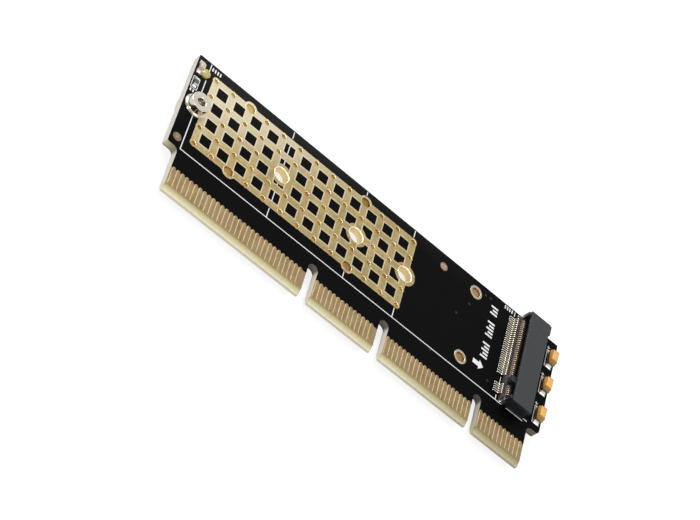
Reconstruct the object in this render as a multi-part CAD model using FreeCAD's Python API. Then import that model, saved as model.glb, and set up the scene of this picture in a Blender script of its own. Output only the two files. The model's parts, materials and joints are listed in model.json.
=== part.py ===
import FreeCAD, Part
import math
import os

# A low-profile adapter card that carries a solid-state module and plugs into a long edge connector.
# The card lies on its back. Three directions are used below, all in millimetres:
# u runs along the card from the middle of the key notch, towards the socket end,
# v runs across the card from the contact edge, and z runs up from the surface that the card lies on.

# Layers of the board
laminate_thickness = 1.5
mask_thickness = 0.035
copper_thickness = 0.045
print_thickness = 0.02

# Contact tongue
contact_pitch = 1.0
contact_width = 0.7
contact_length = 4.3
contact_edge_gap = 1.3
key_to_contact = 1.5
short_side_contacts = 11
long_side_places = 71
relief_gap_places = 3
relief_gap_starts = (21, 38)
relief_to_contact = 1.6
tongue_end_margin = 0.65
key_notch_width = 1.9
relief_notch_width = 2.2
notch_depth = 8.1
bevel_angle = 20.0
mask_overlap = 0.35

# Board above the tongue
shoulder_height = 9.8
left_overhang = 2.4
right_overhang = 2.9
inner_corner_radius = 1.1
lower_corner_radius = 0.8
upper_corner_radius = 0.3

# Module place
module_width = 22.0
module_lower_line = 9.95
module_top_margin = 0.25
datum_u = 8.2
standoff_length = 80.0
hole_lengths = (60.0, 42.0, 30.0)
standoff_edge_margin = 2.7

# Plated mounting holes
stud_clearance = 0.05
mounting_pad_radius = 2.4
plating_wall = 0.18

# Plated holes for a heat sink, in pairs along the card
sink_hole_radius = 1.0
sink_pad_radius = 1.45
sink_from_datum = 14.0
sink_pairs = 3
sink_pitch = 28.0
sink_spacing = 16.35
sink_row_shift = 0.28

# Heat grid
grid_rows = 5
grid_pitch = 4.0
grid_from_standoff = 1.95
grid_row_shift = 0.3
window_size = 2.25
window_corner_radius = 0.12
grid_border = 0.72
grid_corner_radius = 0.6
scallop_radius = 0.82
via_radius = 0.48
via_wall = 0.06
via_pad_radius = 0.7

# Alignment dots
dot_radius = 0.9
left_dot_from_standoff = 1.3
left_dot_rise = 2.1
right_dot_shift = 0.28
right_dot_drop = 2.9

# Printed lines and marks
line_width = 0.18
thin_line_width = 0.13
tick_shift = 0.25
tick_clearance = 0.15
arrow_length = 2.6
arrow_head_width = 2.2
arrow_shaft_width = 1.0
arrow_from_datum = 11.2
arrow_drop = 6.4
mark_height = 1.7
mark_width = 0.42
mark_pitch = 0.78
mark_from_datum = 9.1
mark_groups = ((3, 8.3), (5, 4.4), (5, -0.9))
bar_width = 0.28
bar_pitch = 0.58
# Count, length, distance from the left edge and drop below the top edge of each row of short bars
bar_rows = ((4, 0.85, 3.3, 1.1), (2, 0.6, 0.55, 8.75), (4, 0.85, 75.9, 0.75))

# Standoff and its nut
stud_radius = 1.45
base_radius = 2.3
base_thickness = 0.2
drum_radius = 2.0
drum_height = 1.62
standoff_edge_chamfer = 0.08
screw_hole_radius = 0.8
screw_hole_depth = 3.0
nut_across_flats = 5.0
nut_thickness = 1.2
nut_chamfer = 0.25
stud_recess = 0.2

# Socket housing, heights from the board's face
socket_front_from_datum = 2.6
socket_depth = 4.7
socket_height = 3.0
cheek_width = 0.75
plate_side_reach = 0.35
plate_thickness = 0.8
plate_chamfer = 0.12
cheek_reach = 0.5
cheek_height = 2.65
mouth_end_margin = 0.7
mouth_floor = 1.35
mouth_ceiling = 2.5
mouth_depth = 3.7
lip_reach = 1.2
lip_height = 1.0
key_rib_offset = 6.125
key_rib_width = 1.25
key_rib_reach = 0.9
key_rib_nose_height = 2.35
rear_ear_reach = 0.35
rear_ear_length = 2.2
peg_radii = (0.55, 0.8)
peg_clearance = 0.05
peg_spacing = 20.4
peg_from_front = 2.2
peg_length = 1.3

# Socket contacts
pin_pitch = 0.5
pin_width = 0.2
pin_thickness = 0.15
lower_pins = 38
upper_pins = 37
key_gap_start = 29
key_gap_pins = 4
slot_width = 0.28
slot_wall = 0.2
tail_reach = 2.7
tail_length = 1.05
rear_tail_length = 1.05
pin_pad_width = 0.26
pin_pad_margin = 0.12

# Socket solder anchors
anchor_width = 0.7
anchor_foot = 0.6
anchor_height = 1.1

# Tantalum capacitors
capacitor_rows = (6.65, -0.15, -7.45)
capacitor_inset = 1.2
capacitor_width = 1.7
capacitor_length = 2.9
capacitor_height = 1.75
capacitor_draft = 0.05
capacitor_bevel = 0.4
terminal_thickness = 0.12
terminal_width = 1.3
terminal_rise = 0.95
terminal_run = 0.9
capacitor_pad_width = 1.55
capacitor_pad_length = 1.3
capacitor_pad_reach = 0.62
capacitor_edge_margin = 0.3

# Lamp at the top left corner
lamp_from_standoff = 1.75
lamp_drop = 2.65
lamp_width = 1.0
lamp_length = 2.2
lamp_height = 0.75
lamp_terminal_length = 0.45
lamp_terminal_height = 0.3
lamp_pad_width = 1.15
lamp_pad_reach = 0.55
lens_radius = 0.95
lens_height = 0.65
lens_crown = 0.25
lens_shift_u = 1.15
lens_shift_v = -0.75

# Chip resistor below the lamp
resistor_from_lamp = 4.1
resistor_length = 1.6
resistor_width = 0.85
resistor_height = 0.45
end_cap_length = 0.3
end_cap_wall = 0.03
resistor_pad_length = 0.85
resistor_pad_reach = 0.35

# Sizes and positions that follow from those above
mounting_hole_radius = stud_radius + stud_clearance
tongue_right = key_to_contact + contact_pitch * (short_side_contacts - 1) + tongue_end_margin
tongue_left = -(key_to_contact + contact_pitch * (long_side_places - 1) + tongue_end_margin)
standoff_u = datum_u - standoff_length
centre_v = module_lower_line + module_width / 2
board_height = module_lower_line + module_width + module_top_margin
board_left = min(tongue_left - left_overhang, standoff_u - standoff_edge_margin)
socket_front = datum_u - socket_front_from_datum
socket_back = socket_front + socket_depth
board_right = max(
    tongue_right + right_overhang,
    socket_back + rear_tail_length + 2 * pin_pad_margin + capacitor_width + capacitor_inset
)
capacitor_u = board_right - capacitor_inset
grid_left = standoff_u + grid_from_standoff
grid_columns = 1 + round((datum_u - min(hole_lengths) - grid_left) / grid_pitch)
grid_right = grid_left + grid_pitch * (grid_columns - 1)
grid_bottom = centre_v + grid_row_shift - grid_pitch * (grid_rows - 1) / 2
grid_top = grid_bottom + grid_pitch * (grid_rows - 1)
sink_row = centre_v + sink_row_shift
mouth_half_width = pin_pitch * (lower_pins - 1) / 2 + pin_width / 2 + mouth_end_margin
socket_half_width = mouth_half_width + cheek_width
plate_half_width = socket_half_width + plate_side_reach

# Heights that follow
laminate_back = nut_thickness + copper_thickness
laminate_front = laminate_back + laminate_thickness
face_z = laminate_front + mask_thickness
copper_z = laminate_front + copper_thickness

# The part's own origin is under the middle of the board
origin_u = (board_left + board_right) / 2
origin_v = board_height / 2


def place(u, v, z=0.0):
    return FreeCAD.Vector(u - origin_u, v - origin_v, z)


def box(u_low, u_high, v_low, v_high, z_low, z_high):
    return Part.makeBox(u_high - u_low, v_high - v_low, z_high - z_low, place(u_low, v_low, z_low))


def cylinder(u, v, radius, z_low, z_high):
    return Part.makeCylinder(radius, z_high - z_low, place(u, v, z_low))


def tube(u, v, inner, outer, z_low, z_high):
    return cylinder(u, v, outer, z_low, z_high).cut(cylinder(u, v, inner, z_low, z_high))


def disc(u, v, radius):
    circle = Part.Circle(place(u, v), FreeCAD.Vector(0, 0, 1), radius)
    return Part.Face(Part.Wire(circle.toShape()))


def polygon(points):
    return Part.Face(Part.makePolygon([place(u, v) for u, v in points + points[:1]]))


def rectangle(u_low, u_high, v_low, v_high):
    return polygon([(u_low, v_low), (u_high, v_low), (u_high, v_high), (u_low, v_high)])


def rounded_outline(corners):
    """Closed outline through (u, v, radius) corners, each turned by an arc of its radius."""
    count = len(corners)
    edges = []
    ends = []
    for i in range(count):
        before, corner, after = corners[i - 1], corners[i], corners[(i + 1) % count]
        tip = place(corner[0], corner[1])
        back = (place(before[0], before[1]) - tip).normalize()
        ahead = (place(after[0], after[1]) - tip).normalize()
        if corner[2] <= 0:
            ends.append((tip, tip))
            continue
        half_turn = back.getAngle(ahead) / 2
        reach = corner[2] / math.tan(half_turn)
        start = tip + back * reach
        finish = tip + ahead * reach
        centre = tip + (back + ahead).normalize() * (corner[2] / math.sin(half_turn))
        middle = centre + (tip - centre).normalize() * corner[2]
        edges.append((i, Part.Arc(start, middle, finish).toShape()))
        ends.append((start, finish))
    arcs = dict(edges)
    ordered = []
    for i in range(count):
        if i in arcs:
            ordered.append(arcs[i])
        start = ends[i][1]
        finish = ends[(i + 1) % count][0]
        if (finish - start).Length > 1e-6:
            ordered.append(Part.LineSegment(start, finish).toShape())
    return Part.Wire(ordered)


def rounded_rectangle(u_low, u_high, v_low, v_high, radius):
    points = [(u_low, v_low), (u_high, v_low), (u_high, v_high), (u_low, v_high)]
    return Part.Face(rounded_outline([(u, v, radius) for u, v in points]))


def slot_face(u, v_low, v_high, width):
    """Upright strip with half-round ends."""
    radius = width / 2
    left = u - radius
    right = u + radius
    outline = [
        Part.LineSegment(place(left, v_high - radius), place(left, v_low + radius)).toShape(),
        Part.Arc(place(left, v_low + radius), place(u, v_low), place(right, v_low + radius)).toShape(),
        Part.LineSegment(place(right, v_low + radius), place(right, v_high - radius)).toShape(),
        Part.Arc(place(right, v_high - radius), place(u, v_high), place(left, v_high - radius)).toShape(),
    ]
    return Part.Face(Part.Wire(outline))


def stroke(u_1, v_1, u_2, v_2, width=line_width):
    """Straight printed line of the given width between two points, with square ends."""
    along = FreeCAD.Vector(u_2 - u_1, v_2 - v_1, 0).normalize()
    side_u, side_v = -along.y * width / 2, along.x * width / 2
    return polygon([
        (u_1 + side_u, v_1 + side_v), (u_1 - side_u, v_1 - side_v),
        (u_2 - side_u, v_2 - side_v), (u_2 + side_u, v_2 + side_v)
    ])


def merge(shapes):
    first = shapes[0]
    if len(shapes) > 1:
        first = first.multiFuse(shapes[1:])
    return first.removeSplitter()


def raise_face(face, z_low, thickness):
    lifted = face.copy()
    lifted.translate(FreeCAD.Vector(0, 0, z_low))
    return lifted.extrude(FreeCAD.Vector(0, 0, thickness))


def solids_of(shape):
    return Part.makeCompound(shape.Solids)


# Places of repeated features

def contact_places():
    right = [key_to_contact + contact_pitch * i for i in range(short_side_contacts)]
    missing = [start + i for start in relief_gap_starts for i in range(relief_gap_places)]
    left = [-(key_to_contact + contact_pitch * i) for i in range(long_side_places) if i not in missing]
    return right + left


def relief_places():
    return [
        -(key_to_contact + contact_pitch * (start - 1)) - relief_to_contact
        for start in relief_gap_starts
    ]


def mounting_holes():
    return [(datum_u - length, centre_v) for length in (standoff_length,) + hole_lengths]


def sink_holes():
    """Pairs from the socket end, so that the first pair is clear of the grid."""
    columns = [datum_u - sink_from_datum - sink_pitch * i for i in range(sink_pairs)]
    return [(u, sink_row + side * sink_spacing / 2) for u in columns for side in (-1, 1)]


def sink_holes_in_grid():
    return [(u, v) for u, v in sink_holes() if u < grid_right]


def sink_holes_outside_grid():
    return [(u, v) for u, v in sink_holes() if u >= grid_right]


def grid_vias():
    vias = []
    for column in range(grid_columns):
        for row in range(grid_rows):
            u = grid_left + grid_pitch * column
            v = grid_bottom + grid_pitch * row
            others = [(x, y, mounting_pad_radius) for x, y in mounting_holes()]
            others += [(x, y, sink_pad_radius) for x, y in sink_holes()]
            if all(math.hypot(u - x, v - y) > pad + via_radius for x, y, pad in others):
                vias.append((u, v))
    return vias


def pin_rows(count):
    """Distance of each socket pin from the socket's middle, with the key's places left out."""
    half_span = pin_pitch * (count - 1) / 2
    gap = range(key_gap_start, key_gap_start + key_gap_pins)
    return [half_span - pin_pitch * i for i in range(count) if i not in gap]


def peg_places():
    u = socket_front + peg_from_front
    return [(u, centre_v - peg_spacing / 2, peg_radii[0]), (u, centre_v + peg_spacing / 2, peg_radii[1])]


# Board

def notch_corners(u, width, bottom):
    """Three corners of a slot that rises from the contact edge, its head a half circle."""
    radius = width / 2 - 1e-4
    return [
        (u + width / 2, bottom, 0), (u + width / 2, notch_depth, radius),
        (u - width / 2, notch_depth, radius), (u - width / 2, bottom, 0)
    ]


def board_face():
    corners = [
        (tongue_left, 0, 0), (tongue_left, shoulder_height, inner_corner_radius),
        (board_left, shoulder_height, upper_corner_radius), (board_left, board_height, upper_corner_radius),
        (board_right, board_height, upper_corner_radius), (board_right, shoulder_height, lower_corner_radius),
        (tongue_right, shoulder_height, inner_corner_radius), (tongue_right, 0, 0),
    ]
    notches = [(0.0, key_notch_width)] + [(u, relief_notch_width) for u in relief_places()]
    for u, width in notches:
        corners += notch_corners(u, width, 0.0)
    return Part.Face(rounded_outline(corners))


def drilled_face():
    """Outline of the board with every plated and unplated hole taken out."""
    holes = [disc(u, v, mounting_hole_radius + plating_wall) for u, v in mounting_holes()]
    holes += [disc(u, v, sink_hole_radius + plating_wall) for u, v in sink_holes()]
    holes += [disc(u, v, via_radius + via_wall) for u, v in grid_vias()]
    holes += [disc(u, v, radius + peg_clearance) for u, v, radius in peg_places()]
    return board_face().cut(holes)


def bevel_cutter(z_face, z_sign):
    """Wedge that slopes the contact edge, from the face down to the edge."""
    drop = contact_edge_gap * math.tan(math.radians(bevel_angle))
    overrun = 0.5
    slope = drop / contact_edge_gap
    start = place(tongue_left - overrun, contact_edge_gap, z_face)
    deep = place(tongue_left - overrun, -overrun, z_face - z_sign * slope * (contact_edge_gap + overrun))
    out = place(tongue_left - overrun, -overrun, z_face + z_sign * overrun)
    high = place(tongue_left - overrun, contact_edge_gap, z_face + z_sign * overrun)
    face = Part.Face(Part.makePolygon([start, deep, out, high, start]))
    return face.extrude(FreeCAD.Vector(tongue_right - tongue_left + 2 * overrun, 0, 0))


def circuit_board():
    sheet = raise_face(drilled_face(), laminate_back, laminate_thickness)
    return sheet.cut([bevel_cutter(laminate_front, 1), bevel_cutter(laminate_back, -1)])


def contact_face(u):
    return slot_face(u, contact_edge_gap, contact_edge_gap + contact_length, contact_width)


def edge_contacts(z_low):
    return raised_group([contact_face(u) for u in contact_places()], z_low, copper_thickness)


# Copper grid

def grid_face():
    outline = [rounded_rectangle(
        grid_left - grid_border, grid_right + grid_border, grid_bottom - grid_border, grid_top + grid_border,
        grid_corner_radius
    )]
    for column in range(grid_columns):
        outline += [disc(grid_left + grid_pitch * column, v, scallop_radius) for v in (grid_bottom, grid_top)]
    for row in range(grid_rows):
        outline += [disc(u, grid_bottom + grid_pitch * row, scallop_radius) for u in (grid_left, grid_right)]
    half = window_size / 2
    windows = []
    for column in range(grid_columns - 1):
        for row in range(grid_rows - 1):
            u = grid_left + grid_pitch * (column + 0.5)
            v = grid_bottom + grid_pitch * (row + 0.5)
            windows.append(rounded_rectangle(u - half, u + half, v - half, v + half, window_corner_radius))
    ring = disc(standoff_u, centre_v, mounting_pad_radius)
    return merge(outline).cut(windows + [ring])


def grid_pad_faces():
    """Round pads of the holes in the grid; they cover the corners of the windows that they meet."""
    pads = [disc(u, v, mounting_pad_radius) for u, v in mounting_holes()[1:]]
    return pads + [disc(u, v, sink_pad_radius) for u, v in sink_holes_in_grid()]


def bore_discs():
    """Discs of the plated bores that pass through the grid, out to the laminate's wall."""
    bores = [disc(u, v, mounting_hole_radius + plating_wall) for u, v in mounting_holes()[1:]]
    bores += [disc(u, v, sink_hole_radius + plating_wall) for u, v in sink_holes_in_grid()]
    bores += [disc(u, v, via_radius + via_wall) for u, v in grid_vias()]
    return bores


def heat_grid():
    faces = [grid_face()] + grid_pad_faces()
    sheets = [raise_face(face, laminate_front, copper_thickness) for face in faces]
    bores = [raise_face(face, laminate_front, copper_thickness) for face in bore_discs()]
    return merge(sheets).cut(bores)


# Plating

def plated_hole(u, v, radius, wall, pad_radius, front_pad):
    """Barrel through the board with a ring on the back, and one on the front where no copper meets it."""
    back = laminate_back - copper_thickness
    pieces = [
        tube(u, v, radius, radius + wall, back, copper_z),
        tube(u, v, radius, pad_radius, back, laminate_back)
    ]
    if front_pad:
        pieces.append(tube(u, v, radius, pad_radius, laminate_front, copper_z))
    return merge(pieces)


def module_hole_plating():
    return Part.makeCompound([
        plated_hole(u, v, mounting_hole_radius, plating_wall, mounting_pad_radius, False)
        for u, v in mounting_holes()[1:]
    ])


def standoff_hole_plating():
    u, v = mounting_holes()[0]
    return plated_hole(u, v, mounting_hole_radius, plating_wall, mounting_pad_radius, True)


def sink_hole_plating():
    return Part.makeCompound([
        plated_hole(u, v, sink_hole_radius, plating_wall, sink_pad_radius, u > grid_right)
        for u, v in sink_holes()
    ])


def heat_vias():
    return Part.makeCompound([
        plated_hole(u, v, via_radius, via_wall, via_pad_radius, False) for u, v in grid_vias()
    ])


# Pads under the parts

def dot_faces():
    first_hole_u = sink_holes()[0][0]
    right_dot_u = (grid_right + first_hole_u) / 2 - right_dot_shift
    return [
        disc(standoff_u - left_dot_from_standoff, shoulder_height + left_dot_rise, dot_radius),
        disc(right_dot_u, board_height - right_dot_drop, dot_radius)
    ]


def pin_pad_faces():
    half = pin_pad_width / 2
    tail_end = socket_front - tail_reach
    front_start = tail_end - pin_pad_margin
    front = [
        rectangle(front_start, tail_end + tail_length, centre_v + row - half, centre_v + row + half)
        for row in pin_rows(lower_pins)
    ]
    rear_end = socket_back + rear_tail_length + pin_pad_margin
    back = [
        rectangle(socket_back, rear_end, centre_v + row - half, centre_v + row + half)
        for row in pin_rows(upper_pins)
    ]
    return front + back


def anchor_rows():
    offset = mouth_half_width + (anchor_width + pin_pad_margin) / 2
    return [centre_v - offset, centre_v + offset]


def anchor_pad_faces():
    pads = []
    for v in anchor_rows():
        front = socket_front - cheek_reach
        pads.append(rectangle(
            front - anchor_foot - pin_pad_margin, front,
            v - anchor_width / 2 - pin_pad_margin / 2, v + anchor_width / 2 + pin_pad_margin / 2
        ))
    return pads


def capacitor_pad_faces():
    pads = []
    for row in capacitor_rows:
        for side in (-1, 1):
            outer = side * (capacitor_length / 2 + capacitor_pad_reach)
            inner = outer - side * capacitor_pad_length
            v_low, v_high = sorted((centre_v + row + outer, centre_v + row + inner))
            pads.append(rectangle(
                capacitor_u - capacitor_pad_width / 2, capacitor_u + capacitor_pad_width / 2, v_low, v_high
            ))
    return pads


def lamp_centre():
    return standoff_u - lamp_from_standoff, board_height - lamp_drop


def lamp_pad_faces():
    u, v = lamp_centre()
    pads = []
    for side in (-1, 1):
        inner = v + side * (lamp_length / 2 - lamp_terminal_length)
        outer = v + side * (lamp_length / 2 + lamp_pad_reach)
        v_low, v_high = sorted((inner, outer))
        pads.append(rectangle(u - lamp_pad_width / 2, u + lamp_pad_width / 2, v_low, v_high))
    return pads


def resistor_centre():
    u, v = lamp_centre()
    return u, v - resistor_from_lamp


def resistor_pad_faces():
    u, v = resistor_centre()
    pads = []
    for side in (-1, 1):
        outer = v + side * (resistor_length / 2 + resistor_pad_reach)
        inner = outer - side * resistor_pad_length
        v_low, v_high = sorted((inner, outer))
        pads.append(rectangle(u - resistor_width / 2, u + resistor_width / 2, v_low, v_high))
    return pads


def raised_group(faces, z_low, thickness):
    return Part.makeCompound([raise_face(face, z_low, thickness) for face in faces])


# Solder mask

def mask_front():
    """Mask sheet with the grid, pads and contact heads left open; the grid's windows stay as squares."""
    lower = contact_edge_gap + contact_length - mask_overlap
    above = rectangle(board_left, board_right, lower, board_height)
    sheet = drilled_face().common(above)
    rings = [disc(u, v, mounting_pad_radius) for u, v in mounting_holes()[:1]]
    rings += [disc(u, v, sink_pad_radius) for u, v in sink_holes_outside_grid()]
    opened = dot_faces() + pin_pad_faces() + anchor_pad_faces() + capacitor_pad_faces()
    opened += lamp_pad_faces() + resistor_pad_faces()
    contacts = [contact_face(u) for u in contact_places()]
    sheet = sheet.cut([grid_face()] + grid_pad_faces() + rings + opened + contacts)
    return solids_of(raise_face(sheet, laminate_front, mask_thickness))


def mask_back():
    lower = contact_edge_gap + contact_length - mask_overlap
    above = rectangle(board_left, board_right, lower, board_height)
    rings = [disc(u, v, mounting_pad_radius) for u, v in mounting_holes()]
    rings += [disc(u, v, sink_pad_radius) for u, v in sink_holes()]
    rings += [disc(u, v, via_pad_radius) for u, v in grid_vias()]
    contacts = [contact_face(u) for u in contact_places()]
    sheet = drilled_face().common(above).cut(rings + contacts)
    return solids_of(raise_face(sheet, laminate_back - mask_thickness, mask_thickness))


# Print

def module_outline_strokes():
    left = standoff_u
    gap = base_radius + tick_clearance
    lens_u, lens_v = lens_centre()
    lens_gap = lens_radius + tick_clearance
    socket_end = socket_front - tick_clearance
    restart = socket_front + cheek_reach * 2
    finish = socket_back + cheek_reach
    return [
        stroke(left - line_width / 2, module_lower_line, socket_end, module_lower_line),
        stroke(restart, module_lower_line, finish, module_lower_line),
        stroke(left, module_lower_line + line_width / 2, left, centre_v - gap),
        stroke(left, centre_v + gap, left, lens_v - lens_gap),
        stroke(left, lens_v + lens_gap, left, board_height - module_top_margin)
    ]


def tick_strokes():
    """Short lines beside each hole that show where a module of that length ends."""
    reach = scallop_radius + tick_clearance
    pads = [disc(u, v, sink_pad_radius + tick_clearance) for u, v in sink_holes_in_grid()]
    strokes = []
    for u, v in mounting_holes()[1:]:
        tick = u - tick_shift
        lower = stroke(tick, module_lower_line + line_width / 2, tick, grid_bottom - reach)
        upper = stroke(tick, grid_top + reach, tick, board_height - module_top_margin)
        strokes += [lower.cut(pads), upper.cut(pads)]
    return strokes + window_strokes()


def window_strokes():
    """The tick lines again where they cross the open windows of the grid."""
    half = window_size / 2
    strokes = []
    for hole_u, hole_v in mounting_holes()[1:]:
        tick = hole_u - tick_shift
        for column in range(grid_columns - 1):
            centre = grid_left + grid_pitch * (column + 0.5)
            if abs(tick - centre) > half - line_width:
                continue
            for row in range(grid_rows - 1):
                v = grid_bottom + grid_pitch * (row + 0.5)
                line = stroke(tick, v - half, tick, v + half)
                strokes.append(line.cut(disc(hole_u, hole_v, mounting_pad_radius)))
    return strokes


def arrow_face():
    tip = datum_u - arrow_from_datum + arrow_length
    neck = tip - arrow_head_width / 2
    tail = tip - arrow_length
    v = centre_v - arrow_drop
    half_head = arrow_head_width / 2
    half_shaft = arrow_shaft_width / 2
    return polygon([
        (tip, v), (neck, v + half_head), (neck, v + half_shaft), (tail, v + half_shaft),
        (tail, v - half_shaft), (neck, v - half_shaft), (neck, v - half_head)
    ])


def mark_faces():
    """Groups of plain bars in a column beside the arrow."""
    u = datum_u - mark_from_datum
    bars = []
    for count, top in mark_groups:
        for i in range(count):
            v = centre_v + top - mark_pitch * i
            shortened = 0.5 if i % 2 else 0.0
            bars.append(rectangle(
                u - mark_height / 2 + shortened, u + mark_height / 2, v - mark_width / 2, v + mark_width / 2
            ))
    return bars


def short_bars():
    """Rows of short plain bars beside the lamp, the resistor and the socket."""
    bars = []
    for count, length, from_left, drop in bar_rows:
        v = board_height - drop
        for i in range(count):
            u = board_left + from_left + bar_pitch * i
            bars.append(rectangle(u - bar_width / 2, u + bar_width / 2, v - length / 2, v + length / 2))
    return bars


def key_stroke():
    """Thin line between the tails where the key leaves its pins out."""
    u = socket_front - tail_reach + tail_length
    v = centre_v - key_rib_offset
    half = pin_pitch * (key_gap_pins - 1) / 2
    return stroke(u, v - half, u, v + half, thin_line_width)


def socket_strokes():
    front = socket_front - lip_reach - anchor_foot
    low = module_lower_line + line_width / 2
    rise = socket_half_width - mouth_half_width + anchor_width / 2
    high = board_height - module_top_margin
    behind = socket_back + 2 * cheek_reach
    return [
        stroke(front, low, front, low + rise),
        stroke(front, high - rise, front, high),
        stroke(behind - cheek_reach, low + rise / 2, behind + cheek_reach, low + rise / 2)
    ]


def capacitor_strokes():
    left = capacitor_u - capacitor_pad_width / 2 - line_width
    half = capacitor_length / 2 + capacitor_pad_reach
    strokes = []
    for row in capacitor_rows:
        v = centre_v + row
        strokes.append(stroke(left, v - half, left, v + half, thin_line_width))
        cross = v + half + 3 * line_width
        strokes.append(merge([
            stroke(left - line_width, cross, left + 3 * line_width, cross, thin_line_width),
            stroke(left + line_width, cross - 2 * line_width, left + line_width, cross + 2 * line_width,
                   thin_line_width)
        ]))
    return strokes


def resistor_frame():
    u, v = resistor_centre()
    half_u = resistor_width / 2 + 1.5 * thin_line_width
    half_v = resistor_length / 2 + resistor_pad_reach + 1.5 * thin_line_width
    line = thin_line_width
    outer = rounded_rectangle(
        u - half_u - line, u + half_u + line, v - half_v - line, v + half_v + line, 2 * line
    )
    inner = rounded_rectangle(u - half_u, u + half_u, v - half_v, v + half_v, line)
    return outer.cut(inner)


def print_front():
    faces = module_outline_strokes() + tick_strokes() + [arrow_face()] + mark_faces()
    faces += socket_strokes() + capacitor_strokes() + [resistor_frame(), key_stroke()] + short_bars()
    return solids_of(raised_group(faces, face_z, print_thickness))


# Standoff and nut

def revolved(u, v, profile):
    """Solid turned about the upright axis at (u, v) from (radius, height) points."""
    points = [place(u + radius, v, z) for radius, z in profile]
    face = Part.Face(Part.makePolygon(points + points[:1]))
    return face.revolve(place(u, v), FreeCAD.Vector(0, 0, 1), 360)


def standoff():
    u, v = mounting_holes()[0]
    base_top = copper_z + base_thickness
    drum_top = face_z + drum_height
    edge = standoff_edge_chamfer
    hole_floor = drum_top - screw_hole_depth
    hole_tip = hole_floor - screw_hole_radius * 0.6
    return revolved(u, v, [
        (0, stud_recess), (stud_radius - edge, stud_recess), (stud_radius, stud_recess + edge),
        (stud_radius, copper_z), (base_radius - edge, copper_z), (base_radius, copper_z + edge),
        (base_radius, base_top - edge), (base_radius - edge, base_top), (drum_radius, base_top),
        (drum_radius, drum_top - edge), (drum_radius - edge, drum_top),
        (screw_hole_radius + edge, drum_top), (screw_hole_radius, drum_top - edge),
        (screw_hole_radius, hole_floor), (0, hole_tip)
    ])


def standoff_nut():
    u, v = mounting_holes()[0]
    corner = nut_across_flats / 2 / math.cos(math.radians(30))
    points = [
        (u + corner * math.cos(math.radians(60 * i + 30)), v + corner * math.sin(math.radians(60 * i + 30)))
        for i in range(6)
    ]
    prism = raise_face(polygon(points), 0, nut_thickness)
    crown = revolved(u, v, [
        (0, 0), (corner - nut_chamfer * 2, 0), (corner, nut_chamfer),
        (corner, nut_thickness), (0, nut_thickness)
    ])
    return prism.common(crown).cut(cylinder(u, v, stud_radius, 0, nut_thickness))


# Socket

def socket_block():
    """Body, top plate, cheeks and lower lip of the housing before the mouth is cut."""
    plate_low = face_z + socket_height - plate_thickness
    plate_top = face_z + socket_height
    half = socket_half_width
    plate = box(socket_front, socket_back, centre_v - plate_half_width, centre_v + plate_half_width,
                plate_low, plate_top)
    upper_edges = [
        edge for edge in plate.Edges
        if all(abs(vertex.Point.z - plate_top) < 1e-6 for vertex in edge.Vertexes)
    ]
    plate = plate.makeChamfer(plate_chamfer, upper_edges)
    body = box(socket_front, socket_back, centre_v - half, centre_v + half, face_z, plate_low)
    lip = box(socket_front - lip_reach, socket_front,
              centre_v - mouth_half_width, centre_v + mouth_half_width, face_z, face_z + lip_height)
    pieces = [plate, body, lip]
    for side in (-1, 1):
        v_low, v_high = sorted((centre_v + side * mouth_half_width, centre_v + side * half))
        pieces.append(box(socket_front - cheek_reach, socket_front, v_low, v_high,
                          face_z, face_z + cheek_height))
    ear_top = centre_v + plate_half_width - plate_chamfer
    pieces.append(box(socket_back, socket_back + rear_ear_reach, ear_top - rear_ear_length, ear_top,
                      plate_low, plate_top - plate_chamfer))
    return merge(pieces)


def socket_cutters():
    cutters = [box(socket_front - cheek_reach, socket_front + mouth_depth,
                   centre_v - mouth_half_width, centre_v + mouth_half_width,
                   face_z + mouth_floor, face_z + mouth_ceiling)]
    half = slot_width / 2
    slot_low = face_z + lower_beam_height() - pin_thickness
    for row in pin_rows(lower_pins):
        v = centre_v + row
        cutters.append(box(socket_front - lip_reach, socket_front + lip_reach, v - half, v + half,
                           slot_low, face_z + mouth_floor))
    ceiling = face_z + socket_height - slot_wall
    for row in pin_rows(upper_pins):
        v = centre_v + row
        cutters.append(box(socket_front + cheek_reach, socket_back, v - half, v + half,
                           face_z + mouth_ceiling, ceiling))
        cutters.append(box(rear_riser_u() - pin_thickness, socket_back, v - half, v + half, face_z, ceiling))
    return cutters


def key_rib():
    v = centre_v - key_rib_offset
    half = key_rib_width / 2
    inner = box(socket_front, socket_front + mouth_depth, v - half, v + half,
                face_z + mouth_floor, face_z + mouth_ceiling)
    nose = box(socket_front - key_rib_reach, socket_front, v - half, v + half,
               face_z + lip_height, face_z + key_rib_nose_height)
    bridge = box(socket_front - 1e-3, socket_front, v - half, v + half, face_z + mouth_floor,
                 face_z + key_rib_nose_height)
    return [inner, nose, bridge]


def socket_housing():
    housing = socket_block().cut(socket_cutters())
    pegs = [cylinder(u, v, radius, face_z - peg_length, face_z) for u, v, radius in peg_places()]
    return merge([housing] + key_rib() + pegs)


def lower_beam_height():
    return 0.75 * lip_height


def rear_riser_u():
    return socket_back - 1.2 * pin_thickness


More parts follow.
